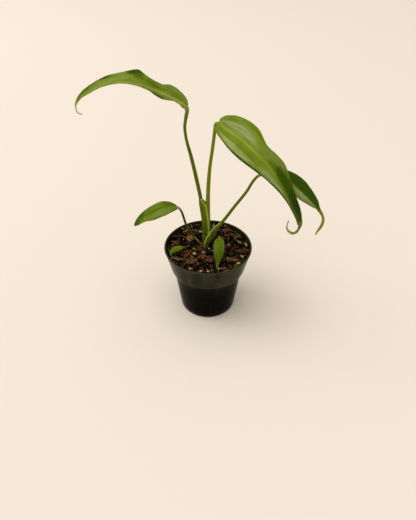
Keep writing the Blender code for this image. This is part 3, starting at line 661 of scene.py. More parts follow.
@dataclass(frozen=True)
class LeafFinish:
    """Leathery leaf: pale midrib, fine side veins, light margin, a mottled green face, and patches
    of painted shade and painted sheen.
    """

    name: str
    light: Colour
    deep: Colour
    rib: Colour
    under: Colour
    tip: Colour
    rib_width: float
    vein_spacing: float = 0.0034
    gloss: float = 0.40
    tip_from: float = 0.86
    patches: tuple[Patch, ...] = ()

    def _veins(self, sheet: Sheet, along: Value, across: Value, margin: Value) -> Value:
        """Side veins that leave the midrib at an angle and sweep on towards the tip.

        Args:
            sheet: the material's node sheet.
            along: length from the blade's base.
            across: distance from the midrib.
            margin: nearness to the margin.

        Returns:
            How much a vein shows.
        """
        wander = sheet.clouds(150.0, 2.0) * 0.0030
        sweep = along - abs(across) * VEIN_SLANT - margin * margin * 0.0040 + wander
        saw = (sweep / self.vein_spacing) % 1.0
        ridge = 1.0 - abs(saw - 0.5).step(0.0, 0.16)
        return ridge * (1.0 - margin.step(0.80, 0.98)) * margin.step(0.02, 0.14)

    def _patched(self, sheet: Sheet, green: Any, share: Value, side: Value) -> Any:
        """Lay the soft-edged areas, mostly painted shade and painted sheen, over the green.

        Args:
            sheet: the material's node sheet.
            green: the colour below.
            share: share of the blade's length.
            side: place from the left margin to the right.

        Returns:
            The socket of the new colour.
        """
        ragged = (sheet.clouds(220.0, 3.0, 0.6) - 0.5) * 0.5
        for patch in self.patches:
            u = (share - patch.share) / patch.reach[0]
            v = (side - patch.side) / patch.reach[1]
            near = (u * u + v * v) ** 0.5 + ragged
            green = sheet.mix((1.0 - near.step(0.50, 1.0)) * patch.amount, green, patch.tone)
        return green

    def face(self) -> bpy.types.Material:
        """Material of the upper face.

        Returns:
            The material.
        """
        sheet = Sheet(self.name)
        along, across, side, share = sheet.measures("along", "across", "side", "share")
        margin = abs(side)
        width = self.rib_width
        beside = abs(across) / (1.0 - share * 0.62)
        rib = 1.0 - beside.step(width * 0.25, width)
        halo = 1.0 - beside.step(width, width * 4.5)
        veins = self._veins(sheet, along, across, margin)
        fine = sheet.cells(1100.0, "DISTANCE_TO_EDGE").step(0.0, 0.10)
        streaks = sheet.clouds(SPREAD, 3.0, 0.6, sheet.vector(
            (along - abs(across) * VEIN_SLANT) * 1500.0, side * 5.0, 0.0))
        lines = sheet.clouds(SPREAD, 3.0, 0.60, sheet.vector(along * 45.0, side * 17.0, 3.0))
        mottle = sheet.clouds(75.0, 3.0, 0.6)
        # The light grey streaks along the lines are painted sheen, and the patches lay painted
        # shade and sheen.
        green = sheet.layers(
            self.light, (mottle.step(0.30, 0.72), self.deep), (halo * 0.20, self.rib),
            (margin.step(0.955, 0.995) * 0.55, self.rib),
            ((1.0 - lines.step(0.36, 0.46)) * 0.30, SHEEN_GREY))
        green = sheet.layers(
            self._patched(sheet, green, share, side), (lines.step(0.46, 0.60) * 0.44, STREAK),
            (streaks.step(0.40, 0.75) * 0.16, self.deep), ((1.0 - fine) * 0.12, self.deep),
            (veins * 0.10, self.rib),
            (rib * (1.0 - share.step(0.15, 0.55) * 0.9) * 0.80, self.rib),
            (share.step(self.tip_from, self.tip_from + 0.08) * 0.90, self.tip))
        rough = self.gloss + mottle * 0.12 + veins * 0.06 + streaks * 0.06
        relief = sheet.bump(fine * 0.4 + streaks * 0.6, 0.00006, 0.5)
        relief = sheet.bump(veins, 0.00014, 0.50, relief)
        return sheet.coat_with(Base_Color=green, Roughness=rough, Normal=relief,
                               Subsurface_Weight=0.06, Subsurface_Radius=(0.4, 1.0, 0.15),
                               Subsurface_Scale=0.0004, Specular_IOR_Level=0.035,
                               Specular_Tint=WARM_GLOSS)

    def underside(self) -> bpy.types.Material:
        """Material of the lower face: paler and duller, with raised veins.

        Returns:
            The material.
        """
        sheet = Sheet(f"{self.name} underside")
        along, across, side = sheet.measures("along", "across", "side")
        rib = 1.0 - abs(across).step(self.rib_width * 0.8, self.rib_width * 1.9)
        veins = self._veins(sheet, along, across, abs(side))
        mottle = sheet.clouds(120.0, 3.0, 0.6)
        green = sheet.layers(self.under, (mottle * 0.45, self.light), (veins * 0.4, self.rib),
                             (rib * 0.8, self.rib))
        relief = sheet.bump(veins + mottle * 0.25, 0.00018, 0.6)
        return sheet.coat_with(Base_Color=green, Roughness=0.58 + mottle * 0.08, Normal=relief,
                               Subsurface_Weight=0.10, Subsurface_Radius=(0.4, 1.0, 0.15),
                               Subsurface_Scale=0.0006, Specular_IOR_Level=0.12)


@dataclass(frozen=True)
class StalkFinish:
    """Smooth green stalk with fine streaks and, on a sheath, a dry pale margin and a pale channel
    inside that is partly painted light.
    """

    name: str
    light: Colour
    deep: Colour
    margin: Colour = (0.42, 0.36, 0.13)
    foot: Colour = (0.20, 0.20, 0.045)
    neck: Colour = (0.26, 0.30, 0.060)
    gloss: float = 0.38
    margin_from: float = 0.74

    def material(self) -> bpy.types.Material:
        """Material of the stalk.

        Returns:
            The material.
        """
        sheet = Sheet(self.name)
        along, edge, low, neck, ring_x, ring_y = sheet.measures(
            "along", "edge", "low", "neck", "ring_x", "ring_y")
        streaks = sheet.clouds(SPREAD, 3.0, 0.6,
                               sheet.vector(ring_x * 7.0, ring_y * 7.0, along * 34.0))
        blots = sheet.clouds(SPREAD, 2.0, 0.6,
                             sheet.vector(ring_x * 2.6, ring_y * 2.6, along * 420.0))
        specks = sheet.clouds(1500.0, 1.0)
        # Pale margin colour on the sheath's margins, and on its channel's inside and opening
        # partly as painted light.
        dry = edge.step(self.margin_from, self.margin_from + 0.24)
        dry = dry * (0.70 + streaks * 0.3) * (1.0 - blots.step(0.50, 0.62) * low * 0.7)
        green = sheet.layers(
            self.light, (streaks.step(0.32, 0.70), self.deep),
            (specks.step(0.58, 0.72) * (0.20 + low * 0.6), self.foot), (low * 0.30, self.foot),
            (blots.step(0.46, 0.56) * low.step(0.0, 0.5) * 0.70, SHADE_AND_STAIN_DARK),
            (neck * 0.75, self.neck), (dry, self.margin))
        relief = sheet.bump(streaks + specks * 0.3, 0.00010, 0.5)
        return sheet.coat_with(Base_Color=green, Roughness=self.gloss + streaks * 0.12,
                               Normal=relief, Subsurface_Weight=0.06,
                               Subsurface_Radius=(0.5, 1.0, 0.2), Subsurface_Scale=0.0006,
                               Specular_IOR_Level=0.03, Specular_Tint=WARM_GLOSS)


@dataclass(frozen=True)
class PotPlastic:
    """Thin glossy moulded plastic, green-black, a little scuffed and dusty, with a painted
    reflection in soft vertical streaks on the band and upper body and a painted highlight along
    the lip.

    lip_rise, foot_rise: heights over which the lip's painted highlight sets in and the scuffing of
    the foot fades.
    body_rise, band_rise: heights over which the painted reflection on the body and on the band
    sets in.
    """

    body: Colour = (0.0014, 0.0013, 0.0005)
    band_reflection: Colour = (0.0240, 0.0250, 0.0085)
    worn_and_highlight: Colour = (0.042, 0.043, 0.018)
    dust: Colour = (0.10, 0.085, 0.055)
    glint: Colour = (1.0, 0.92, 0.60)
    lip_rise: Span = (0.0766, 0.0778)
    foot_rise: Span = (0.0005, 0.0030)
    body_rise: Span = (0.0280, 0.0520)
    band_rise: Span = (0.0500, 0.0530)

    def material(self) -> bpy.types.Material:
        """Material of the pot.

        Returns:
            The material.
        """
        sheet = Sheet("pot plastic")
        x, y, z = (Value(sheet, socket) for socket in sheet.node(
            "ShaderNodeSeparateXYZ", None, {0: sheet.place()}).outputs)
        haze = sheet.clouds(38.0, 4.0, 0.6)
        drawn = sheet.clouds(SPREAD, 3.0, 0.6, sheet.vector(x * 420.0, y * 420.0, z * 26.0))
        reflection_bars = sheet.clouds(SPREAD, 1.0, 0.5, sheet.vector(x * 70.0, y * 70.0, z * 1.5))
        scuffs = sheet.clouds(SPREAD, 2.0, 0.5, sheet.vector(x * 160.0, y * 160.0, z * 900.0))
        specks = 1.0 - sheet.cells(520.0).step(0.06, 0.13)
        foot = 1.0 - z.step(*self.foot_rise)
        # Scuffs and the foot show real scuffing; the lighter top of the lip is a painted
        # highlight. The band and upper body take a painted reflection in soft vertical streaks,
        # where the coat is also stronger.
        wear_and_lip_highlight = scuffs.step(0.60, 0.78) * 0.35 + z.step(*self.lip_rise) * 0.85 + foot * 0.35
        reflection_and_gloss = z.step(*self.body_rise) * 0.22 + z.step(*self.band_rise) * 0.78
        reflection_and_gloss = reflection_and_gloss * (0.50 + reflection_bars.step(0.36, 0.60) * 0.50)
        colour = sheet.layers(self.body, (reflection_and_gloss, self.band_reflection), (wear_and_lip_highlight, self.worn_and_highlight),
                              (specks * haze.step(0.48, 0.66) * 0.35, self.dust))
        rough = 0.12 + haze * 0.08 + drawn * 0.06 + wear_and_lip_highlight * 0.18
        relief = sheet.bump(sheet.clouds(55.0, 1.0), 0.0006, 0.30)
        relief = sheet.bump(drawn, 0.00004, 0.35, relief)
        return sheet.coat_with(Base_Color=colour, Roughness=rough, Normal=relief,
                               Specular_IOR_Level=0.012, Specular_Tint=self.glint,
                               Coat_Weight=0.035 + reflection_and_gloss * 0.15, Coat_Roughness=0.10,
                               Coat_IOR=1.45)


class Crumb(Enum):
    """What a loose piece of the mix is."""

    BARK = "bark"
    GRAIN = "grain"
    FIBRE = "fibre"


@dataclass(frozen=True)
class CrumbFinish:
    """Look of the loose pieces of the mix, each toned by its own number, with painted shade on its
    lower sides.
    """

    name: str
    dark: Colour
    middle: Colour
    light: Colour
    accent: Colour
    stretch: Point
    roughness: float

    def material(self) -> bpy.types.Material:
        """Material of the pieces.

        Returns:
            The material.
        """
        sheet = Sheet(self.name)
        tone, hue, border, lift = sheet.measures("tone", "hue", "border", "lift")
        wood = sheet.clouds(SPREAD, 4.0, 0.65, sheet.local("own", self.stretch))
        pits = sheet.cells(1300.0).step(0.05, 0.35)
        # Paler towards each piece's border.
        pale_border = border.step(0.62, 0.95) * (1.0 - wood.step(0.34, 0.52))
        # The low sides of each piece are painted darker by its lift, as painted shade.
        colour = sheet.layers(
            self.dark, (tone.step(0.0, 0.5), self.middle), (tone.step(0.45, 1.0), self.light),
            (hue.step(0.55, 1.0) * 0.8, self.accent),
            ((1.0 - wood.step(0.26, 0.42)) * 0.65, self.light),
            (wood.step(0.45, 0.60) * 0.90, self.dark),
            (pale_border * tone.step(0.15, 0.45) * 0.55, self.light),
            ((1.0 - lift.step(-0.10, 0.60)) * 0.85, self.dark), ((1.0 - pits) * 0.30, self.dark))
        relief = sheet.bump(wood + pits * 0.4, 0.00035, 0.8)
        return sheet.coat_with(Base_Color=colour, Roughness=self.roughness + wood * 0.15,
                               Normal=relief, Specular_IOR_Level=0.08)


@dataclass(frozen=True)
class GroundFinish:
    """Fine dark mould between the loose pieces."""

    dark: Colour = (0.0022, 0.0014, 0.0008)
    brown: Colour = (0.018, 0.009, 0.004)

    def material(self) -> bpy.types.Material:
        """Material of the mix's own surface.

        Returns:
            The material.
        """
        sheet = Sheet("potting mix ground")
        coarse = sheet.clouds(260.0, 5.0, 0.7)
        crumbs = sheet.cells(950.0)
        colour = sheet.mix(coarse.step(0.50, 0.78), self.dark, self.brown)
        relief = sheet.bump(coarse + (1.0 - crumbs), 0.0007, 0.9)
        return sheet.coat_with(Base_Color=colour, Roughness=0.82 + crumbs * 0.12, Normal=relief,
                               Specular_IOR_Level=0.05)


@dataclass(frozen=True)
class StemFinish:
    """Rough brown-green bark of the stub."""

    green: Colour = (0.060, 0.058, 0.014)
    brown: Colour = (0.020, 0.014, 0.006)

    def material(self) -> bpy.types.Material:
        """Material of the stub.

        Returns:
            The material.
        """
        sheet = Sheet("stem")
        bark = sheet.clouds(700.0, 4.0, 0.65)
        colour = sheet.mix(bark.step(0.35, 0.7), self.green, self.brown)
        return sheet.coat_with(Base_Color=colour, Roughness=0.65 + bark * 0.15,
                               Normal=sheet.bump(bark, 0.0003))


# Pot

@dataclass(frozen=True)
class Pot:
    """Turned shell with a raised band, a round lip, drain holes and notches in its foot.

    lip_width, lip_depth: the round lip's thickness and how far down the wall it starts.
    ledge: drop of the sloped ledge under the band.
    ledge_turn, ledge_out, ledge_in, nick: how far from the ledge its soft edges lie.
    chamfer: shares of the edge's size at its middle point, inwards and upwards.
    """

    rim: float = 0.045
    height: float = 0.078
    band_bottom: float = 0.0525
    band_radius: float = 0.0390
    band_step: float = 0.0026
    band_rings: tuple[float, ...] = (0.0560, 0.0640, 0.0720)
    ledge: float = 0.0009
    ledge_turn: float = 0.0009
    ledge_out: float = 0.0003
    ledge_in: float = 0.0005
    nick: float = 0.0001
    base: float = 0.0297
    edge: float = 0.0014
    chamfer: Span = (0.35, 0.28)
    wall: float = 0.0012
    inner_ring: float = 0.030
    lip_width: float = 0.0019
    lip_depth: float = 0.0022
    floor_top: float = 0.0032
    foot_width: float = 0.0034
    hub: float = 0.0085
    gutter: float = 0.0015
    drains: int = 6
    drain_radius: float = 0.0030
    drain_circle: float = 0.0190
    drain_depth: float = 0.012
    notch: Point = (0.0068, 0.0034, 0.0024)
    facets: int = 128
    drain_facets: int = 32
    body_steps: int = 6
    lip_steps: int = 12

    def _band(self, height: float) -> float:
        """Outside radius of the band at a height."""
        share = (height - self.band_bottom) / (self.height - self.band_bottom)
        return self.band_radius + share * (self.rim - self.band_radius)

    def _body(self, height: float) -> float:
        """Outside radius of the body at a height."""
        share = height / self.band_bottom
        return self.base + share * (self.band_radius - self.band_step - self.base)

    def inside(self, height: float) -> float:
        """Inside radius of the wall at a height."""
        share = clamp((height - self.band_bottom) / self.wall)
        return share * self._band(height) + (1 - share) * self._body(height) - self.wall

    def profile(self) -> list[Span]:
        """Radius and height of every ring, from the hub up outside and down inside.

        Returns:
            The rings, in the order in which they are drawn.
        """
        lip = self.lip_width / 2
        lip_foot = self.height - self.lip_depth
        under = self.band_bottom - self.ledge
        turn = under - self.ledge_turn
        above = self.band_bottom + self.ledge_out * 2
        foot = self.base - self.foot_width
        inward, upward = self.chamfer
        rings = [(self.hub, 0.0), (self.hub + self.gutter, self.gutter),
                 (foot - self.gutter, self.gutter), (foot, 0.0), (self.base - self.edge, 0.0),
                 (self.base - self.edge * inward, self.edge * upward),
                 (self._body(self.edge), self.edge)]
        rings += [(self._body(under * k / self.body_steps), under * k / self.body_steps)
                  for k in range(1, self.body_steps)]
        rings += [(self._body(turn), turn),
                  (self._body(under) + self.ledge_out, under - self.nick),
                  (self.band_radius - self.ledge_in, self.band_bottom - self.ledge * 0.30),
                  (self.band_radius - self.nick, self.band_bottom), (self._band(above), above)]
        rings += [(self._band(height), height) for height in (*self.band_rings, lip_foot)]
        for k in range(self.lip_steps + 1):
            angle = math.pi * k / self.lip_steps
            rings.append((self.rim - lip + lip * math.cos(angle),
                          self.height - lip + lip * math.sin(angle)))
        rings += [(self.inside(height), height) for height in (
            lip_foot, self.band_rings[1], self.band_bottom + self.wall, self.band_bottom,
            self.inner_ring)]
        corner = self.inside(self.floor_top)
        return [*rings, (corner, self.floor_top + self.edge), (corner - self.edge, self.floor_top)]

    def _turn_shell(self) -> bpy.types.Object:
        """Draw the shell up from a circle, one ring after another.

        Returns:
            The shell, without its holes.
        """
        Bench.clear()
        rings = self.profile()
        bpy.ops.mesh.primitive_circle_add(vertices=self.facets, radius=rings[0][0],
                                          fill_type="NOTHING")
        shell = Bench.named("pot_shell")
        Bench.edit()
        for (radius, height), (wider, higher) in zip(rings, rings[1:]):
            Bench.extrude(higher - height)
            bpy.ops.transform.resize(value=(wider / radius, wider / radius, 1.0))
        bpy.ops.mesh.edge_face_add()
        Bench.select_edges(shell, lambda a, b: abs(a.z) + abs(b.z) < CLOSE
                           and max(a.xy.length, b.xy.length) < self.hub + CLOSE)
        bpy.ops.mesh.edge_face_add()
        Bench.face_outwards()
        return shell

    def _cutters(self) -> bpy.types.Object:
        """Join the cylinders of the drain holes and the blocks of the notches.

        Returns:
            What is cut out of the shell.
        """
        made = []
        for k in range(self.drains):
            turn = math.tau * k / self.drains
            away = Vector((math.cos(turn), math.sin(turn), 0.0))
            Bench.clear()
            bpy.ops.mesh.primitive_cylinder_add(
                vertices=self.drain_facets, radius=self.drain_radius, depth=self.drain_depth,
                location=away * self.drain_circle)
            made.append(Bench.named("drain_cutter"))
            Bench.clear()
            bpy.ops.mesh.primitive_cube_add(
                size=1.0, location=away * (self.base - self.foot_width / 2),
                rotation=(0.0, 0.0, turn), scale=self.notch)
            made.append(Bench.named("notch_cutter"))
        Bench.clear()
        for item in made:
            item.select_set(True)
        bpy.context.view_layer.objects.active = made[0]
        bpy.ops.object.join()
        return bpy.context.object

    def build(self) -> None:
        """Build, dress and hand over the pot."""
        shell = self._turn_shell()
        cutters = self._cutters()
        Bench.modify(shell, "BOOLEAN", operation="DIFFERENCE", object=cutters, solver="EXACT")
        bpy.data.objects.remove(cutters, do_unlink=True)
        Bench.dress(shell, 32.0, PotPlastic().material())
        hand_over(shell, "pot_plastic", "pot")


# Leaves

KEEL = ((0, 0.0014), (0.1, 0.0010), (0.5, 0.0006), (0.85, 0.0003), (1, 0.0001))


@dataclass(frozen=True)
class Blade:
    """Form of one blade: keys are (share of its length, value) pairs.

    heading: compass direction in degrees that the blade points to, seen from above.
    left, right: half widths, seen along the blade with its upper face up.
    rise_left, rise_right: angle of each half above the level line across it, in degrees.
    bend_left, bend_right: how much each half's angle has changed at its margin.
    keel: depth of the rib below the blade.
    back: how far the left and right lobes at the base reach back past the joint.
    """

    heading: float
    left: Keys
    right: Keys
    rise_left: Keys
    rise_right: Keys
    bend_left: Keys
    bend_right: Keys
    keel: Keys = KEEL
    back: Span = (0.0, 0.0)


@dataclass(frozen=True)
class Sheath:
    """Open channel at the foot of a stalk.

    facing: compass direction in degrees of the channel's closed back.
    reach, width: half depth and half width of its outside.
    middle_wall, edge_wall: thickness at its back and at its two margins.
    sweep: angle in degrees from the back to each margin.
    offset: how far its middle lies from the stalk's own line, away from the back.
    full, end: heights up to which it is whole, and at which it has closed into the stalk.
    foot: share of its size that it has at the stem.
    """

    facing: float
    reach: float
    width: float
    middle_wall: float
    edge_wall: float
    sweep: float
    offset: float
    full: float
    end: float
    foot: float


@dataclass(frozen=True)
class Leaf:
    """One leaf: its line, its blade and where that starts, its stalk and both finishes."""

    line: tuple[Point, ...]
    blade: Blade
    finish: LeafFinish
    joint: int = 0
    girth: Keys = ()
    stalk: StalkFinish | None = None
    sheath: Sheath | None = None
    ripple: float = 0.00012
    nodes: tuple[str, ...] = ()


FOOT = 0.0741                   # height at which the stalks stand on the stem
STAND = 0.0012                  # how far their feet reach into it
THICKNESS = 0.0007              # of a blade's solid
FACE_RISE = 0.30                # share of it by which the blade's face lies above its line
GAP = 0.0003                    # between a stalk's solid and its blade's
JOINT_HALF_WIDTH = 0.0016
LOBE_WIDTH = 0.0060
LOBE_SHARE = 0.12
STEP_TURN = 5.0                 # degrees of bend after which a new section comes in any case
BLADE_STEP = 0.0009
HALF_COLUMNS = 15
COLUMN_POWER = 1.30             # above 1, the columns stand closer at the midrib
STRAIGHT = 1e-4                 # bend below which half a blade is flat across
WAVE = (210.0, 2.5, 1.6)        # of the margin: per metre, power that keeps it there, height
SWELL = (95.0, 1.3)             # of the whole blade: per metre, height
GROOVE = (0.00018, 0.0007)      # over the midrib: depth, half width
DEPTH = 0.00046                 # of a dressed blade beside its rib
MARGIN_THINNING = 0.00022
KEEL_HALF_WIDTH = 0.00085
STALK_STEP = 0.0011
HALF_RING = 22                  # points on each half of a stalk's section
RIB_RUN = 0.0075                # how far the stalk runs on under its blade
RIB_TAPER = 0.70                # share of its girth that it loses there
RIB_SINK = 2.2                  # haste with which it sinks below the blade there
RIB_CLEAR = 0.0001
SHEATH_RISE = 0.010             # over which a sheath widens from its foot
INNER_EDGE = 0.7                # share of its edge wall that a channel's inside keeps
# The channel's inside and opening take the pale margin colour: partly the sheath's own paleness,
# partly painted light for light shining through the sheath into its shaded channel.
INNER_NEARNESS = 0.96           # of the channel's inside to the margin, for its look
PALE_ONSET = 14.0                 # haste with which a dry margin sets in where the channel opens
STAINED = 0.034                 # length of the stained foot of a stalk
NECK = 0.0075                   # length of its paler neck

SHEATH_1 = Sheath(facing=180, reach=0.0046, width=0.0034, middle_wall=0.0039, edge_wall=0.0006,
                  sweep=128, offset=0.0019, full=0.1215, end=0.1315, foot=0.8)
SHEATH_3 = Sheath(facing=-55, reach=0.0028, width=0.0036, middle_wall=0.0023, edge_wall=0.0007,
                  sweep=104, offset=0.0003, full=0.0930, end=0.1020, foot=0.6)
SHEATH_4 = Sheath(facing=215, reach=0.0015, width=0.0022, middle_wall=0.0013, edge_wall=0.0007,
                  sweep=100, offset=0.0002, full=0.0800, end=0.0880, foot=0.6)

TALL_LEFT = Leaf(
    line=((-0.0035, 0.0066, FOOT), (-0.0035, 0.0066, 0.0830), (-0.0035, 0.0066, 0.0930),
          (-0.0040, 0.0066, 0.1030), (-0.0060, 0.0066, 0.1200), (-0.0110, 0.0070, 0.1489),
          (-0.0159, 0.0075, 0.1728), (-0.0200, 0.0080, 0.1908), (-0.0207, 0.0080, 0.1984),
          (-0.0190, 0.0074, 0.2100), (-0.0183, 0.0070, 0.2137), (-0.0187, 0.0067, 0.2163),
          (-0.0255, 0.0060, 0.2216), (-0.0340, 0.0050, 0.2265), (-0.0430, 0.0040, 0.2308),
          (-0.0540, 0.0020, 0.2360), (-0.0660, 0.0000, 0.2391), (-0.0790, -0.0030, 0.2388),
          (-0.0922, -0.0060, 0.2336), (-0.1005, -0.0080, 0.2283), (-0.1048, -0.0090, 0.2222),
          (-0.1042, -0.0093, 0.2181), (-0.1005, -0.0095, 0.2165)),
    joint=11,
    girth=((0, 0.0021), (0.40, 0.0018), (0.52, 0.0018), (0.69, 0.0016), (0.82, 0.0013),
           (0.92, 0.0014), (1, 0.0019)),
    blade=Blade(
        heading=190,
        left=((0, 0.0004), (0.05, 0.0010), (0.10, 0.0030), (0.16, 0.0088), (0.23, 0.0120),
              (0.32, 0.0108), (0.50, 0.0094), (0.65, 0.0093), (0.73, 0.0080), (0.80, 0.0058),
              (0.89, 0.0030), (1, 0.0006)),
        right=((0, 0.0026), (0.02, 0.0052), (0.05, 0.0080), (0.09, 0.0104), (0.13, 0.0116),
               (0.16, 0.0117), (0.23, 0.0089), (0.31, 0.0096), (0.37, 0.0138), (0.395, 0.0151),
               (0.43, 0.0132), (0.47, 0.0106), (0.53, 0.0090), (0.60, 0.0082), (0.70, 0.0071),
               (0.80, 0.0058), (0.88, 0.0036), (0.93, 0.0021), (1, 0.0006)),
        rise_left=((0, 0), (0.2, -1), (0.28, 3), (0.35, 7), (0.5, 6), (0.65, 4), (1, 3)),
        rise_right=((0, 42), (0.2, 36), (0.35, 34), (0.42, 40), (0.55, 26), (0.7, 20), (1, 20)),
        bend_left=((0, 0), (0.25, -6), (0.5, 0), (1, 0)),
        bend_right=((0, -4), (0.3, -4), (0.39, -22), (0.5, -8), (1, 0)),
        back=(0.0, 0.0030)),
    finish=LeafFinish(
        "leaf 1", light=(0.215, 0.295, 0.022), deep=(0.125, 0.205, 0.008),
        rib=(0.44, 0.47, 0.100), under=(0.150, 0.200, 0.045), tip=(0.62, 0.58, 0.22),
        # Patches: the grey ones are painted sheen, the dark and shady ones painted shade, the
        # olive one a painted grazing reflection on the near half and the brown one painted shade
        # under its curled margin.
        rib_width=0.0019, tip_from=0.87, patches=(
            Patch(0.07, 0.35, (0.09, 0.40), SHADY, 0.3),
            Patch(0.32, 0.30, (0.09, 0.45), FRESH, 0.5),
            Patch(0.24, 0.40, (0.07, 0.16), SHADY, 0.6),
            Patch(0.15, 0.90, (0.10, 0.35), SHEEN_GREY, 0.5),
            Patch(0.54, 0.55, (0.12, 0.55), SHEEN_GREY, 0.3),
            Patch(0.30, 0.55, (0.06, 0.30), SHADY, 0.5),
            Patch(0.425, 0.95, (0.070, 0.56), SHADE_AND_STAIN_DARK, 1.0),
            Patch(0.40, 0.62, (0.050, 0.40), SHADY, 0.6),
            Patch(0.62, 0.78, (0.055, 0.30), SHADE_AND_STAIN_DARK, 0.8),
            Patch(0.70, 1.00, (0.14, 0.34), SHADE_AND_STAIN_DARK, 0.9),
            Patch(0.81, 0.75, (0.08, 0.60), SHADY, 0.9),
            Patch(0.88, 0.50, (0.06, 1.50), SHADY, 0.8),
            Patch(0.25, -0.95, (0.075, 0.50), SHADE_AND_STAIN_DARK, 1.0),
            Patch(0.47, -0.60, (0.14, 0.62), OLIVE_GRAZING_SHEEN, 1.0),
            Patch(0.45, -0.72, (0.09, 0.16), BROWN_MARGIN_SHADE, 0.7))),
    stalk=StalkFinish("stalk 1", light=(0.140, 0.205, 0.004), deep=(0.045, 0.085, 0.002),
                      margin=(0.46, 0.50, 0.080), margin_from=0.70),
    sheath=SHEATH_1, nodes=("petiole_1", "blade_1"))

BROAD_RIGHT = Leaf(
    line=((-0.0003, 0.0066, FOOT), (0.0004, 0.0066, 0.0830), (0.0005, 0.0066, 0.0930),
          (0.0001, 0.0066, 0.1030), (-0.0004, 0.0064, 0.1180), (-0.0004, 0.0055, 0.1361),
          (0.0010, 0.0035, 0.1637), (0.0033, 0.0020, 0.1841), (0.0049, 0.0006, 0.2000),
          (0.0052, 0.0003, 0.2038), (0.0059, 0.0000, 0.2059), (0.0075, -0.0008, 0.2064),
          (0.0135, -0.0040, 0.2036), (0.0240, -0.0100, 0.1986), (0.0377, -0.0180, 0.1894),
          (0.0518, -0.0240, 0.1770), (0.0630, -0.0270, 0.1624), (0.0730, -0.0285, 0.1450),
          (0.0800, -0.0288, 0.1305), (0.0818, -0.0285, 0.1217), (0.0806, -0.0282, 0.1172),
          (0.0779, -0.0280, 0.1152), (0.0750, -0.0278, 0.1163), (0.0720, -0.0276, 0.1202),
          (0.0719, -0.0276, 0.1248), (0.0725, -0.0276, 0.1280)),
    joint=11,
    girth=((0, 0.0013), (0.12, 0.0018), (0.38, 0.0021), (0.46, 0.0019), (0.56, 0.0018),
           (0.65, 0.0016), (0.85, 0.00145), (1, 0.0014)),
    blade=Blade(
        heading=-25,
        left=((0, 0.0038), (0.01, 0.0070), (0.03, 0.0118), (0.07, 0.0161), (0.14, 0.0186),
              (0.19, 0.0178), (0.25, 0.0144), (0.30, 0.0121), (0.36, 0.0131), (0.43, 0.0143),
              (0.50, 0.0121), (0.58, 0.0094), (0.66, 0.0083), (0.73, 0.0069), (0.80, 0.0052),
              (0.87, 0.0025), (0.93, 0.0016), (1, 0.0007)),
        right=((0, 0.0050), (0.03, 0.0082), (0.08, 0.0114), (0.14, 0.0141), (0.20, 0.0151),
               (0.30, 0.0145), (0.38, 0.0134), (0.46, 0.0123), (0.54, 0.0105), (0.62, 0.0091),
               (0.70, 0.0071), (0.78, 0.0049), (0.85, 0.0026), (0.93, 0.0015), (1, 0.0007)),
        rise_left=((0, 38), (0.12, 40), (0.3, 36), (0.6, 26), (0.78, 24), (0.87, 40), (0.95, 38),
                   (1, 20)),
        rise_right=((0, -20), (0.2, -19), (0.35, -10), (0.5, 4), (0.64, 12), (0.78, 6),
                    (0.87, 38), (0.95, 36), (1, 20)),
        bend_left=((0, -10), (0.12, -22), (0.30, -10), (0.45, -14), (1, 0)),
        bend_right=((0, -6), (0.2, -14), (0.5, -6), (1, 0)),
        back=(0.0024, 0.0018)),
    finish=LeafFinish(
        "leaf 2", light=(0.215, 0.300, 0.016), deep=(0.140, 0.220, 0.005),
        rib=(0.30, 0.38, 0.045), under=(0.150, 0.200, 0.045), tip=(0.42, 0.41, 0.100),
        # Patches: the grey and pale ones are painted sheen, the dark, shady and deepest ones
        # painted shade.
        rib_width=0.0024, tip_from=0.86, patches=(
            Patch(0.13, -0.42, (0.17, 0.38), SHEEN_GREY, 0.9),
            Patch(0.19, -0.95, (0.14, 0.28), FRESH, 0.9),
            Patch(0.17, 0.72, (0.17, 0.24), SHEEN_PALE, 0.95),
            Patch(0.45, 0.62, (0.13, 0.36), SHEEN_GREY, 0.9),
            Patch(0.44, 0.66, (0.12, 0.22), SHEEN_PALE, 0.7),
            Patch(0.12, -0.36, (0.14, 0.26), SHEEN_PALE, 0.75),
            Patch(0.44, -0.90, (0.06, 0.30), SHEEN_GREY, 0.6),
            Patch(0.26, 1.02, (0.24, 0.20), SHADE_AND_STAIN_DARK, 1.0),
            Patch(0.34, -0.60, (0.09, 0.45), SHEEN_GREY, 0.5),
            Patch(0.42, -0.30, (0.09, 0.34), SHADY, 0.6),
            Patch(0.49, -0.30, (0.10, 0.42), SHADE_AND_STAIN_DARK, 0.9),
            Patch(0.64, -0.45, (0.24, 0.90), SHADE_AND_STAIN_DARK, 1.0),
            Patch(0.74, 0.25, (0.15, 0.90), SHADE_AND_STAIN_DARK, 0.95),
            Patch(0.70, -0.50, (0.17, 0.56), DEEPEST_SHADE, 1.0),
            Patch(0.56, 1.00, (0.20, 0.24), SHADE_AND_STAIN_DARK, 1.0),
            Patch(0.835, 0.00, (0.045, 3.00), DRY, 0.9))),
    stalk=StalkFinish("stalk 2", light=(0.205, 0.250, 0.004), deep=(0.135, 0.175, 0.003)),
    nodes=("petiole_2", "blade_2"))

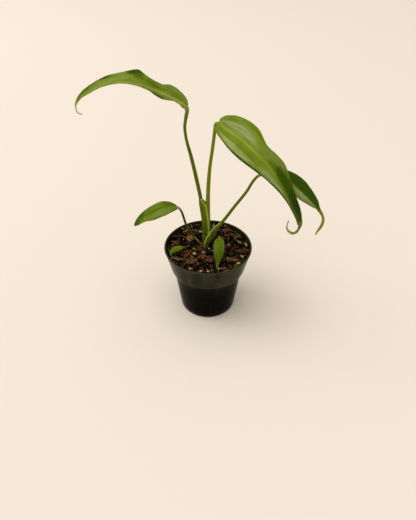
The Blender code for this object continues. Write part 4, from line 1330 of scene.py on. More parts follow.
HANGING_RIGHT = Leaf(
    line=((-0.0024, 0.0020, FOOT), (-0.0018, 0.0024, 0.0773), (-0.0002, 0.0028, 0.0810),
          (0.0016, 0.0032, 0.0845), (0.0043, 0.0040, 0.0892), (0.0084, 0.0050, 0.0961),
          (0.0140, 0.0063, 0.1025), (0.0257, 0.0080, 0.1200), (0.0368, 0.0092, 0.1368),
          (0.0428, 0.0100, 0.1482), (0.0457, 0.0104, 0.1516), (0.0492, 0.0106, 0.1534),
          (0.0600, 0.0100, 0.1545), (0.0750, 0.0070, 0.1490), (0.0900, 0.0030, 0.1372),
          (0.1045, -0.0012, 0.1228), (0.1094, -0.0030, 0.1160), (0.1102, -0.0035, 0.1112),
          (0.1094, -0.0038, 0.1058), (0.1074, -0.0040, 0.1000), (0.1064, -0.0040, 0.0952)),
    joint=11,
    girth=((0, 0.0018), (0.35, 0.0016), (1, 0.0013)),
    blade=Blade(
        heading=-15,
        left=((0, 0.0012), (0.05, 0.0056), (0.20, 0.0098), (0.34, 0.0126), (0.42, 0.0134),
              (0.54, 0.0112), (0.64, 0.0078), (0.71, 0.0034), (0.76, 0.0023), (0.84, 0.0031),
              (0.92, 0.0026), (1, 0.0007)),
        right=((0, 0.0012), (0.05, 0.0034), (0.20, 0.0092), (0.36, 0.0122), (0.46, 0.0108),
               (0.54, 0.0080), (0.62, 0.0052), (0.70, 0.0011), (0.76, 0.0016), (0.84, 0.0029),
               (0.92, 0.0024), (1, 0.0007)),
        rise_left=((0, 22), (0.5, 24), (0.68, 26), (0.80, 50), (0.93, 48), (1, 20)),
        rise_right=((0, -8), (0.5, -8), (0.66, 2), (0.80, 50), (0.93, 48), (1, 20)),
        bend_left=((0, 0), (0.4, -10), (1, 0)),
        bend_right=((0, 0), (0.4, -6), (1, 0)),
        keel=((0, 0.0013), (0.1, 0.0009), (0.5, 0.0006), (0.85, 0.0003), (1, 0.0001)),
        back=(0.0012, 0.0)),
    finish=LeafFinish(
        "leaf 3", light=(0.150, 0.200, 0.014), deep=(0.080, 0.130, 0.004),
        rib=(0.24, 0.28, 0.040), under=(0.120, 0.170, 0.035), tip=(0.26, 0.27, 0.035),
        # Patches: the grey and pale ones on the lower half are painted sheen, the dark ones
        # painted shade.
        rib_width=0.0005, tip_from=0.70, patches=(
            Patch(0.38, -0.50, (0.34, 0.74), SHADE_AND_STAIN_DARK, 1.0),
            Patch(0.58, -0.50, (0.18, 0.66), SHADE_AND_STAIN_DARK, 1.0),
            Patch(0.50, 0.45, (0.20, 0.50), SHEEN_GREY, 0.9),
            Patch(0.44, 0.32, (0.16, 0.22), SHEEN_PALE, 0.6),
            Patch(0.20, 0.40, (0.14, 0.60), SHADE_AND_STAIN_DARK, 0.8),
            Patch(0.60, 1.00, (0.12, 0.20), SHADE_AND_STAIN_DARK, 0.8))),
    stalk=StalkFinish("stalk 3", light=(0.150, 0.205, 0.004), deep=(0.060, 0.105, 0.002),
                      margin=(0.80, 0.70, 0.24), margin_from=0.68),
    sheath=SHEATH_3, nodes=("petiole_3", "blade_3"))

SHORT_LEFT = Leaf(
    line=((-0.0056, 0.0032, FOOT), (-0.0092, 0.0028, 0.0796), (-0.0135, 0.0022, 0.0857),
          (-0.0186, 0.0015, 0.0957), (-0.0222, 0.0010, 0.1035), (-0.0246, 0.0005, 0.1136),
          (-0.0264, 0.0000, 0.1198), (-0.0287, -0.0007, 0.1235), (-0.0340, -0.0020, 0.1253),
          (-0.0425, -0.0043, 0.1251), (-0.0516, -0.0070, 0.1223), (-0.0613, -0.0100, 0.1181),
          (-0.0702, -0.0134, 0.1111)),
    joint=7,
    girth=((0, 0.0013), (0.25, 0.0012), (1, 0.0011)),
    blade=Blade(
        heading=198,
        left=((0, 0.0009), (0.05, 0.0040), (0.18, 0.0076), (0.35, 0.0096), (0.55, 0.0092),
              (0.76, 0.0056), (0.90, 0.0037), (1, 0.0010)),
        right=((0, 0.0009), (0.05, 0.0040), (0.18, 0.0083), (0.33, 0.0102), (0.52, 0.0096),
               (0.76, 0.0069), (0.92, 0.0042), (1, 0.0012)),
        rise_left=((0, -8), (1, -8)),
        rise_right=((0, 12), (1, 12)),
        bend_left=((0, -8), (1, -8)),
        bend_right=((0, -8), (1, -8)),
        keel=((0, 0.0010), (0.15, 0.0006), (1, 0.0001))),
    finish=LeafFinish(
        "leaf 4", light=(0.165, 0.225, 0.020), deep=(0.105, 0.160, 0.007),
        rib=(0.22, 0.28, 0.030), under=(0.130, 0.180, 0.040), tip=(0.055, 0.100, 0.003),
        # Patches: the grey one is painted sheen, the dark and shady ones painted shade.
        rib_width=0.0004, tip_from=0.90, patches=(
            Patch(0.40, -0.45, (0.30, 0.40), SHEEN_GREY, 0.45),
            Patch(0.17, 0.55, (0.20, 0.55), SHADY, 0.75),
            Patch(0.50, 0.14, (0.36, 0.22), SHADY, 0.75),
            Patch(0.84, 0.60, (0.20, 0.70), SHADE_AND_STAIN_DARK, 0.95),
            Patch(0.86, -0.10, (0.14, 0.70), SHADY, 0.9),
            Patch(0.45, -0.98, (0.16, 0.20), SHADY, 0.8),
            Patch(0.95, 0.00, (0.10, 2.50), SHADE_AND_STAIN_DARK, 0.9))),
    stalk=StalkFinish("stalk 4", light=(0.055, 0.085, 0.005), deep=(0.028, 0.052, 0.003),
                      margin=(0.40, 0.33, 0.10), margin_from=0.52),
    sheath=SHEATH_4, nodes=("petiole_4", "blade_4"))

YOUNG_GREEN = LeafFinish("seedling leaf", light=(0.155, 0.230, 0.006), deep=(0.085, 0.150, 0.003),
                         rib=(0.20, 0.27, 0.030), under=(0.160, 0.220, 0.030),
                         tip=(0.13, 0.19, 0.008), rib_width=0.0004, vein_spacing=0.0030,
                         # Patches: the shady one is painted shade, the grey one painted sheen.
                         gloss=0.38, patches=(
                             Patch(0.55, 0.55, (0.24, 0.50), SHADY, 0.8),
                             Patch(0.74, -0.55, (0.20, 0.30), SHEEN_GREY, 0.35),
                             Patch(0.20, 0.00, (0.22, 2.00), FRESH, 0.8)))

SEEDLING_LEFT = Leaf(
    line=((-0.0352, -0.0123, 0.0650), (-0.0376, -0.0130, 0.0735), (-0.0377, -0.0124, 0.0760),
          (-0.0367, -0.0110, 0.0776), (-0.0345, -0.0090, 0.0782), (-0.0318, -0.0066, 0.0781),
          (-0.0283, -0.0035, 0.0770), (-0.0249, -0.0008, 0.0755)),
    blade=Blade(
        heading=45,
        left=((0, 0.0008), (0.32, 0.0009), (0.50, 0.0022), (0.68, 0.0034), (0.85, 0.0026),
              (0.96, 0.0010), (1, 0.0005)),
        right=((0, 0.0008), (0.32, 0.0009), (0.50, 0.0022), (0.68, 0.0032), (0.85, 0.0024),
               (0.96, 0.0010), (1, 0.0005)),
        rise_left=((0, 18), (1, 18)),
        rise_right=((0, -20), (1, -20)),
        bend_left=((0, -6), (1, -6)),
        bend_right=((0, -10), (1, -10)),
        keel=((0, 0.0009), (0.35, 0.0008), (0.55, 0.0003), (1, 0.0001))),
    finish=YOUNG_GREEN, ripple=0.00006, nodes=("seedling_leaf_left",))

SEEDLING_FRONT = Leaf(
    line=((0.0084, -0.0310, 0.0650), (0.0087, -0.0302, 0.0724), (0.0096, -0.0290, 0.0798),
          (0.0104, -0.0266, 0.0902), (0.0107, -0.0246, 0.0983), (0.0112, -0.0228, 0.1047)),
    blade=Blade(
        heading=90,
        left=((0, 0.0009), (0.24, 0.0010), (0.38, 0.0024), (0.60, 0.0050), (0.78, 0.0058),
              (0.90, 0.0052), (0.97, 0.0032), (1, 0.0012)),
        right=((0, 0.0009), (0.24, 0.0010), (0.38, 0.0021), (0.60, 0.0042), (0.78, 0.0049),
               (0.90, 0.0044), (0.97, 0.0028), (1, 0.0012)),
        rise_left=((0, 16), (0.5, 20), (1, 4)),
        rise_right=((0, 16), (0.5, 20), (1, 4)),
        bend_left=((0, 0), (1, -8)),
        bend_right=((0, 0), (1, -8)),
        keel=((0, 0.0009), (0.3, 0.0008), (0.5, 0.0003), (1, 0.0001))),
    finish=YOUNG_GREEN, ripple=0.00005, nodes=("seedling_leaf_front",))


class LeafMaker:
    """Builds the blade and the stalk of one leaf along its line."""

    def __init__(self, name: str, leaf: Leaf) -> None:
        """Lay out the leaf's line.

        Args:
            name: name of its pieces.
            leaf: the leaf.
        """
        self.name = name
        self.leaf = leaf
        self.route = Route(leaf.line)
        heading = math.radians(leaf.blade.heading)
        self.across_way = Vector((math.sin(heading), -math.cos(heading), 0.0))

    @staticmethod
    def _half(width: float, rise: float, bend: float) -> list[tuple[float, ...]]:
        """Lay the points of half a section, from the midrib to the margin, on an arc.

        Args:
            width: length of the arc.
            rise: angle at which it starts.
            bend: how much that angle changes along it.

        Returns:
            Share of the width, outward and upward place, and slope of each point.
        """
        points: list[tuple[float, ...]] = []
        for k in range(HALF_COLUMNS + 1):
            share = (k / HALF_COLUMNS) ** COLUMN_POWER
            slope = rise + bend * share
            if abs(bend) < STRAIGHT:
                outward = width * share * math.cos(rise)
                upward = width * share * math.sin(rise)
            else:
                outward = width / bend * (math.sin(slope) - math.sin(rise))
                upward = width / bend * (math.cos(rise) - math.cos(slope))
            points.append((share, outward, upward, slope))
        return points

    def _across(self, where: float) -> list[tuple[float, ...]]:
        """Lay the points of a whole section, from the left margin to the right one.

        Args:
            where: share of the blade's length at which it is.

        Returns:
            Sign of the side, then what half a section gives, for each point.
        """
        form = self.leaf.blade
        halves = []
        for sign, width, rise, bend in ((-1, form.left, form.rise_left, form.bend_left),
                                        (1, form.right, form.rise_right, form.bend_right)):
            half = self._half(read(width, where), math.radians(read(rise, where)),
                              math.radians(read(bend, where)))
            halves.append([(sign, *point) for point in half])
        return halves[0][:0:-1] + halves[1]

    def _ripple(self, along: float, share: float, sign: float) -> float:
        """Measure the fine waves of the margin and of the whole blade.

        Args:
            along: length along the leaf's line.
            share: share of the half width.
            sign: side of the blade.

        Returns:
            How far the face is raised there.
        """
        rate, power, height = WAVE
        wave = noise.noise(Vector((along * rate, sign * 3.0, 7.0))) * share ** power
        rate, rise = SWELL
        swell = noise.noise(Vector((along * rate, sign * 9.0, share * 2.0))) * share
        return self.leaf.ripple * (height * wave + rise * swell)

    def blade(self) -> bpy.types.Object:
        """Build the blade as a grid on its surface, thickened downwards with its rib.

        Returns:
            The blade.
        """
        form, joint = self.leaf.blade, self.leaf.joint
        start = self.route.knots[joint] + (GAP if joint else 0.0)
        stations = self.route.walk(start, self.route.lengths[-1], BLADE_STEP, STEP_TURN)
        places, rows, depth = [], [], []
        for here in stations:
            side = square_to(self.across_way, here.tangent)
            normal = side.cross(here.tangent)
            keel = read(form.keel, here.share)
            for sign, share, outward, upward, slope in self._across(here.share):
                beside = clamp((outward - JOINT_HALF_WIDTH) / LOBE_WIDTH)
                reach = form.back[sign > 0] * beside * max(0.0, 1 - here.share / LOBE_SHARE)
                groove = GROOVE[0] * bell(outward / GROOVE[1]) * (1 - here.share)
                lift = self._ripple(here.length, share, sign) - groove
                facing = (normal * math.cos(slope) - side * (sign * math.sin(slope))
                          if share else normal)
                places.append(here.point + side * sign * outward - here.tangent * reach
                              + normal * (upward + lift) + facing * THICKNESS * FACE_RISE)
                rows.append((here.length - start, sign * math.hypot(outward, upward),
                             sign * share, here.share))
                depth.append(DEPTH - MARGIN_THINNING * share ** 3
                             + keel * bell(outward / KEEL_HALF_WIDTH))
        item = Bench.grid(f"{self.name}_blade", 2 * HALF_COLUMNS + 1, len(stations),
                          np.array(places))
        Bench.measure(item, **dict(zip(("along", "across", "side", "share"), np.array(rows).T)))
        self._thicken(item, depth)
        Bench.dress(item, 50.0, self.leaf.finish.face(), self.leaf.finish.underside())
        return item

    @staticmethod
    def _thicken(item: bpy.types.Object, depth: list[float]) -> None:
        """Give a sheet its own depth at each point, downwards from its upper face.

        Args:
            item: the sheet.
            depth: its depth, point by point.
        """
        most = max(depth)
        group = item.vertex_groups.new(name="depth")
        for k, value in enumerate(depth):
            group.add([k], value / most, "REPLACE")
        Bench.modify(item, "SOLIDIFY", thickness=most, offset=-1.0, vertex_group="depth",
                     thickness_vertex_group=0.0, material_offset=1, use_rim=True)
        item.vertex_groups.clear()

    def _section(self, radius: float, opened: float) -> list[Point]:
        """Lay the points of a stalk's section, round or drawn out into its sheath.

        Args:
            radius: of the round stalk.
            opened: how far the section has opened into the sheath's channel, from 0 to 1.

        Returns:
            Place towards the back, place to the side and nearness to a margin, point by point.
        """
        sheath = self.leaf.sheath
        points = []
        for k in range(2 * HALF_RING):
            outside = k <= HALF_RING
            turn = 1 - 2 * k / HALF_RING if outside else -1 + 2 * (k - HALF_RING) / HALF_RING
            angle = math.pi / 2 * (turn if outside else turn + 2)
            plain = (radius * math.cos(angle), radius * math.sin(angle) * (1 if outside else -1))
            if sheath is None or opened <= 0.0:
                points.append((*plain, 0.0))
                continue
            back_wall = edge_wall = 0.0
            if not outside:
                edge_wall = sheath.edge_wall * INNER_EDGE
                back_wall = edge_wall + ((sheath.middle_wall - edge_wall)
                                         * math.cos(math.pi / 2 * turn) ** 2)
            angle = math.radians(sheath.sweep) * turn
            channel = ((sheath.reach - back_wall) * math.cos(angle) - sheath.offset,
                       (sheath.width - edge_wall) * math.sin(angle))
            back, side = (a * opened + b * (1 - opened) for a, b in zip(channel, plain))
            # The channel's inside gets the pale margin colour, partly as painted light.
            nearness = abs(turn) if outside else INNER_NEARNESS
            points.append((back, side, nearness * min(1.0, opened * PALE_ONSET)))
        return points

    def _sheathing(self, height: float) -> Span:
        """Tell how the stalk is sheathed.

        Args:
            height: height of the section.

        Returns:
            How far the section has opened into the channel, and the share of its size.
        """
        sheath = self.leaf.sheath
        if sheath is None:
            return 0.0, 1.0
        opened = swing(clamp((sheath.end - height) / (sheath.end - sheath.full)))
        return opened, min(1.0, sheath.foot + (1 - sheath.foot) * (height - FOOT) / SHEATH_RISE)

    def stalk(self) -> bpy.types.Object:
        """Build the stalk, which runs on under the blade as its tapering rib.

        Returns:
            The stalk.
        """
        leaf = self.leaf
        joint = self.route.knots[leaf.joint]
        facing = math.radians(leaf.sheath.facing if leaf.sheath else 0.0)
        back_way = Vector((math.cos(facing), math.sin(facing), 0.0))
        rings: list[list[Vector]] = []
        rows: list[tuple[float, ...]] = []
        for here in self.route.walk(0.0, joint + RIB_RUN, STALK_STEP, STEP_TURN):
            back = square_to(back_way, here.tangent)
            side = here.tangent.cross(back)
            opened, size = self._sheathing(here.point.z)
            past = max(0.0, here.length - joint) / RIB_RUN
            radius = read(leaf.girth, min(1.0, here.length / joint)) * (1 - RIB_TAPER * past)
            upward = square_to(self.across_way, here.tangent).cross(here.tangent)
            sink = swing(min(1.0, past * RIB_SINK))
            centre = here.point - upward * (radius + RIB_CLEAR) * sink
            stained = max(0.0, 1 - here.length / STAINED)
            neck = clamp(1 - (joint - here.length) / NECK)
            ring = []
            for number, (x, y, nearness) in enumerate(self._section(radius, opened)):
                ring.append(centre + (back * x + side * y) * size)
                angle = math.pi * number / HALF_RING
                rows.append((here.length, nearness, stained, neck, math.cos(angle),
                             math.sin(angle)))
            rings.append(ring)
        for spot in rings[0]:
            spot.z = FOOT
        rings.insert(0, [Vector((p.x, p.y, p.z - STAND)) for p in rings[0]])
        rows[:0] = rows[:2 * HALF_RING]
        item, order = self._tube(f"{self.name}_stalk", rings)
        Bench.measure(item, **dict(zip(("along", "edge", "low", "neck", "ring_x", "ring_y"),
                                       np.array(rows)[order].T)))
        Bench.pick(item)
        Bench.edit()
        bpy.ops.mesh.fill_holes(sides=0)
        Bench.face_outwards()
        Bench.dress(item, 55.0, leaf.stalk.material())
        return item

    @staticmethod
    def _tube(name: str, rings: list[list[Vector]]) -> tuple[bpy.types.Object, np.ndarray]:
        """Draw an open tube up from a circle, ring by ring, and lay it on its rings.

        Args:
            name: name of the object.
            rings: the rings' points, from the foot up.

        Returns:
            The object, and for each of its points the number of the ring point it lies on.
        """
        count = len(rings[0])
        Bench.clear()
        bpy.ops.mesh.primitive_cylinder_add(vertices=count, radius=1.0, depth=1.0,
                                            end_fill_type="NOTHING")
        item = Bench.named(name)
        Bench.edit()
        Bench.select_edges(item, lambda a, b: min(a.z, b.z) > 0)
        for _ in rings[2:]:
            Bench.extrude(1.0)
        bpy.ops.object.mode_set(mode="OBJECT")
        found = np.empty(len(item.data.vertices) * 3, np.float32)
        item.data.vertices.foreach_get("co", found)
        found = found.reshape(-1, 3)
        level = np.rint(found[:, 2] + 0.5).astype(int)
        turn = np.rint(np.arctan2(found[:, 1], found[:, 0]) / math.tau * count).astype(int) % count
        order = level * count + turn
        flat = np.array([p for ring in rings for p in ring], float)
        item.data.vertices.foreach_set("co", flat[order].astype(np.float32).ravel())
        item.data.update()
        return item, order

    def build(self) -> None:
        """Build and hand over the leaf's pieces."""
        slot = "leaf_green" if self.leaf.stalk else "seedling_green"
        if self.leaf.stalk:
            hand_over(self.stalk(), "petiole_green", self.leaf.nodes[0])
        hand_over(self.blade(), slot, self.leaf.nodes[-1])


# Potting mix

@dataclass(frozen=True)
class Crumbling:
    """One batch of loose pieces, strewn at random between the limits of its spans.

    slimness: width as a share of the length.
    sunk: share of its height by which a piece lies sunk.
    tilt: greatest lean, in radians.
    ring: share of the mix's area, from its middle, that stays free of the batch.
    """

    kind: Crumb
    count: int
    half_length: Span
    slimness: Span
    half_height: Span
    tones: Span
    sunk: Span
    tilt: float
    ring: float = 0.0


@dataclass(frozen=True)
class Placed:
    """A loose piece that lies at a known place: its middle, half sizes, turn and tones."""

    kind: Crumb
    x: float
    y: float
    half: Point
    turn: float
    tone: float
    hue: float = 0.0
    tilt: float = 0.15


@dataclass(frozen=True)
class Heap:
    """One mesh of loose pieces: what is strewn first, and what is laid over it and how deep."""

    name: str
    finish: CrumbFinish
    strewn: tuple[Crumbling, ...]
    placed: tuple[Placed, ...] = ()
    sunk: float = 0.0


LARGE_BARK = tuple(Placed(Crumb.BARK, *row) for row in (
    (-0.0290, -0.0190, (0.0070, 0.0016, 0.0011), -0.25, 0.90, 0.9),
    (-0.0205, -0.0105, (0.0068, 0.0030, 0.0013), 1.05, 0.50, 0.9),
    (-0.0165, -0.0225, (0.0062, 0.0042, 0.0014), 0.35, 0.62, 0.8),
    (-0.0055, -0.0155, (0.0044, 0.0034, 0.0015), 0.20, 0.66, 0.9),
    (0.0015, -0.0195, (0.0036, 0.0046, 0.0014), 0.10, 0.60, 0.9),
    (0.0245, -0.0195, (0.0066, 0.0026, 0.0012), -0.20, 0.70, 0.8),
    (0.0365, -0.0060, (0.0052, 0.0034, 0.0012), 0.10, 0.45, 0.8),
    (-0.0195, 0.0150, (0.0036, 0.0048, 0.0012), -0.3, 0.72, 0.6),
    (-0.0335, 0.0055, (0.0050, 0.0024, 0.0012), 0.75, 0.70, 0.8),
    (-0.0145, 0.0265, (0.0048, 0.0018, 0.0010), -0.7, 0.60, 0.5),
    (0.0195, 0.0285, (0.0052, 0.0028, 0.0012), 0.1, 0.66, 0.9),
    (0.0275, 0.0190, (0.0048, 0.0022, 0.0011), -0.4, 0.45, 0.8),
    (-0.0080, -0.0020, (0.0046, 0.0030, 0.0012), 0.1, 0.42, 0.9),
    (0.0200, 0.0020, (0.0036, 0.0026, 0.0012), 0.6, 0.40, 0.9),
))

PALE_GRAINS = tuple(Placed(Crumb.GRAIN, *row) for row in (
    (-0.0135, -0.0112, (0.0027, 0.0020, 0.0016), -0.3, 0.80, 0.3),
    (-0.0045, -0.0095, (0.0024, 0.0017, 0.0013), 0.1, 0.72, 0.5),
    (-0.0160, -0.0162, (0.0022, 0.0015, 0.0012), 0.4, 0.50, 0.7),
    (-0.0145, -0.0035, (0.0020, 0.0020, 0.0013), 0.4, 0.45, 0.9),
    (0.0012, -0.0030, (0.0018, 0.0015, 0.0012), 0.9, 0.60, 0.7),
    (0.0052, -0.0060, (0.0027, 0.0013, 0.0011), 0.2, 0.55, 0.6),
    (-0.0070, -0.0375, (0.0018, 0.0017, 0.0014), 0.4, 0.98, 0.0),
    (0.0005, -0.0385, (0.0018, 0.0015, 0.0014), 0.1, 0.98, 0.0),
    (-0.0170, -0.0345, (0.0021, 0.0013, 0.0012), -0.6, 0.80, 0.5),
    (0.0105, -0.0345, (0.0020, 0.0014, 0.0012), 0.9, 0.75, 0.5),
    (0.0340, -0.0150, (0.0027, 0.0015, 0.0013), -0.4, 0.99, 0.0),
    (0.0395, 0.0030, (0.0013, 0.0029, 0.0012), 0.3, 0.95, 0.0),
    (0.0330, 0.0085, (0.0034, 0.0017, 0.0011), -0.5, 0.62, 0.4),
    (0.0300, -0.0260, (0.0027, 0.0017, 0.0013), 0.5, 0.75, 0.4),
    (-0.0080, 0.0255, (0.0029, 0.0014, 0.0012), 0.2, 0.85, 0.1),
    (-0.0230, 0.0270, (0.0021, 0.0017, 0.0012), 0.2, 0.62, 0.5),
    (0.0215, 0.0060, (0.0013, 0.0011, 0.0010), 0.2, 0.99, 0.0),
    (0.0190, 0.0200, (0.0021, 0.0011, 0.0010), 0.1, 0.60, 0.8),
    (0.0120, 0.0170, (0.0028, 0.0010, 0.0008), -0.7, 0.75, 0.2),
))

HEAPS = (
    Heap("mix_bark",
         CrumbFinish("bark", dark=(0.0026, 0.0014, 0.0005), middle=(0.038, 0.012, 0.003),
                     light=(0.440, 0.235, 0.090), accent=(0.130, 0.036, 0.011),
                     stretch=(300.0, 800.0, 800.0), roughness=0.60),
         (Crumbling(Crumb.BARK, 760, (0.0008, 0.0019), (0.45, 0.9), (0.0005, 0.0011),
                    (0.0, 0.12), (0.25, 0.5), 0.7),
          Crumbling(Crumb.BARK, 64, (0.0013, 0.0030), (0.30, 0.7), (0.0006, 0.0012),
                    (0.0, 0.85), (0.35, 0.6), 0.40),
          Crumbling(Crumb.BARK, 520, (0.0006, 0.0016), (0.3, 0.8), (0.0003, 0.0007),
                    (0.0, 0.12), (0.3, 0.5), 0.8),
          Crumbling(Crumb.BARK, 140, (0.0006, 0.0015), (0.25, 0.5), (0.0003, 0.0007),
                    (0.6, 1.0), (0.1, 0.3), 0.8),
          Crumbling(Crumb.BARK, 90, (0.0009, 0.0021), (0.3, 0.6), (0.0004, 0.0009),
                    (0.25, 0.9), (0.2, 0.4), 0.6, 0.74)),
         LARGE_BARK, 0.42),
    Heap("mix_grains",
         CrumbFinish("grain", dark=(0.045, 0.036, 0.008), middle=(0.230, 0.195, 0.060),
                     light=(0.640, 0.520, 0.270), accent=(0.240, 0.235, 0.050),
                     stretch=(700.0, 700.0, 700.0), roughness=0.70),
         (Crumbling(Crumb.GRAIN, 170, (0.0005, 0.0012), (0.6, 1.0), (0.0004, 0.0009),
                    (0.2, 1.0), (0.35, 0.6), 0.8),
          Crumbling(Crumb.GRAIN, 36, (0.0007, 0.0015), (0.5, 0.9), (0.0005, 0.0010),
                    (0.4, 1.0), (0.25, 0.5), 0.8, 0.72)),
         PALE_GRAINS, 0.15),
    Heap("mix_fibres",
         CrumbFinish("fibre", dark=(0.012, 0.008, 0.005), middle=(0.085, 0.055, 0.026),
                     light=(0.300, 0.200, 0.095), accent=(0.130, 0.110, 0.040),
                     stretch=(200.0, 1200.0, 1200.0), roughness=0.65),
         (Crumbling(Crumb.FIBRE, 110, (0.0014, 0.0046), (0.06, 0.12), (0.00016, 0.0003),
                    (0.0, 0.8), (0.1, 0.4), 0.25),)))


class Surface:
    """Running height of the mix, on a square grid, which each placed piece raises.

    CELL, REACH: size of a cell and half size of the grid.
    TOP_SHARE: how much a piece rests on the highest point below it, not on the mean.
    CROWN: share of its half height by which a piece raises the surface over its middle.
    """

    CELL = 0.0005
    REACH = 0.046
    TOP_SHARE = 0.4
    CROWN = 0.7

    def __init__(self, height: Callable[[float, float], float]) -> None:
        """Sample the bare surface, whose height a function gives.

        Args:
            height: gives the bare surface's height at a place.
        """
        line = np.linspace(-self.REACH, self.REACH, int(2 * self.REACH / self.CELL) + 1)
        self.x, self.y = np.meshgrid(line, line, indexing="ij")
        self.z = np.vectorize(height)(self.x, self.y)

    def _cell(self, place: float) -> int:
        """Number of the cell at a place, which isn't below 0."""
        return max(0, int((place + self.REACH) / self.CELL))

    def settle(self, piece: Placed, sunk: float) -> float:
        """Rest a piece on what lies there, and raise the surface by it.

        Args:
            piece: the piece, which covers an ellipse.
            sunk: share of its height by which it lies sunk.

        Returns:
            Height of the piece's middle.
        """
        long, wide, high = piece.half
        reach = max(long, wide)
        size = int(2 * reach / self.CELL) + 2
        low_x, low_y = self._cell(piece.x - reach), self._cell(piece.y - reach)
        area = slice(low_x, low_x + size), slice(low_y, low_y + size)
        dx, dy = self.x[area] - piece.x, self.y[area] - piece.y
        u = (dx * math.cos(piece.turn) + dy * math.sin(piece.turn)) / long
        v = (-dx * math.sin(piece.turn) + dy * math.cos(piece.turn)) / wide
        inside = u * u + v * v < 1.0
        cells = self.z[area]
        under = cells[inside]
        if under.size == 0:
            return float(self.z[self._cell(piece.x), self._cell(piece.y)])
        rest = float(under.mean() * (1 - self.TOP_SHARE) + under.max() * self.TOP_SHARE)
        middle = rest + high * (1 - 2 * sunk)
        cells[inside] = np.maximum(cells[inside], middle + high * self.CROWN)
        return middle


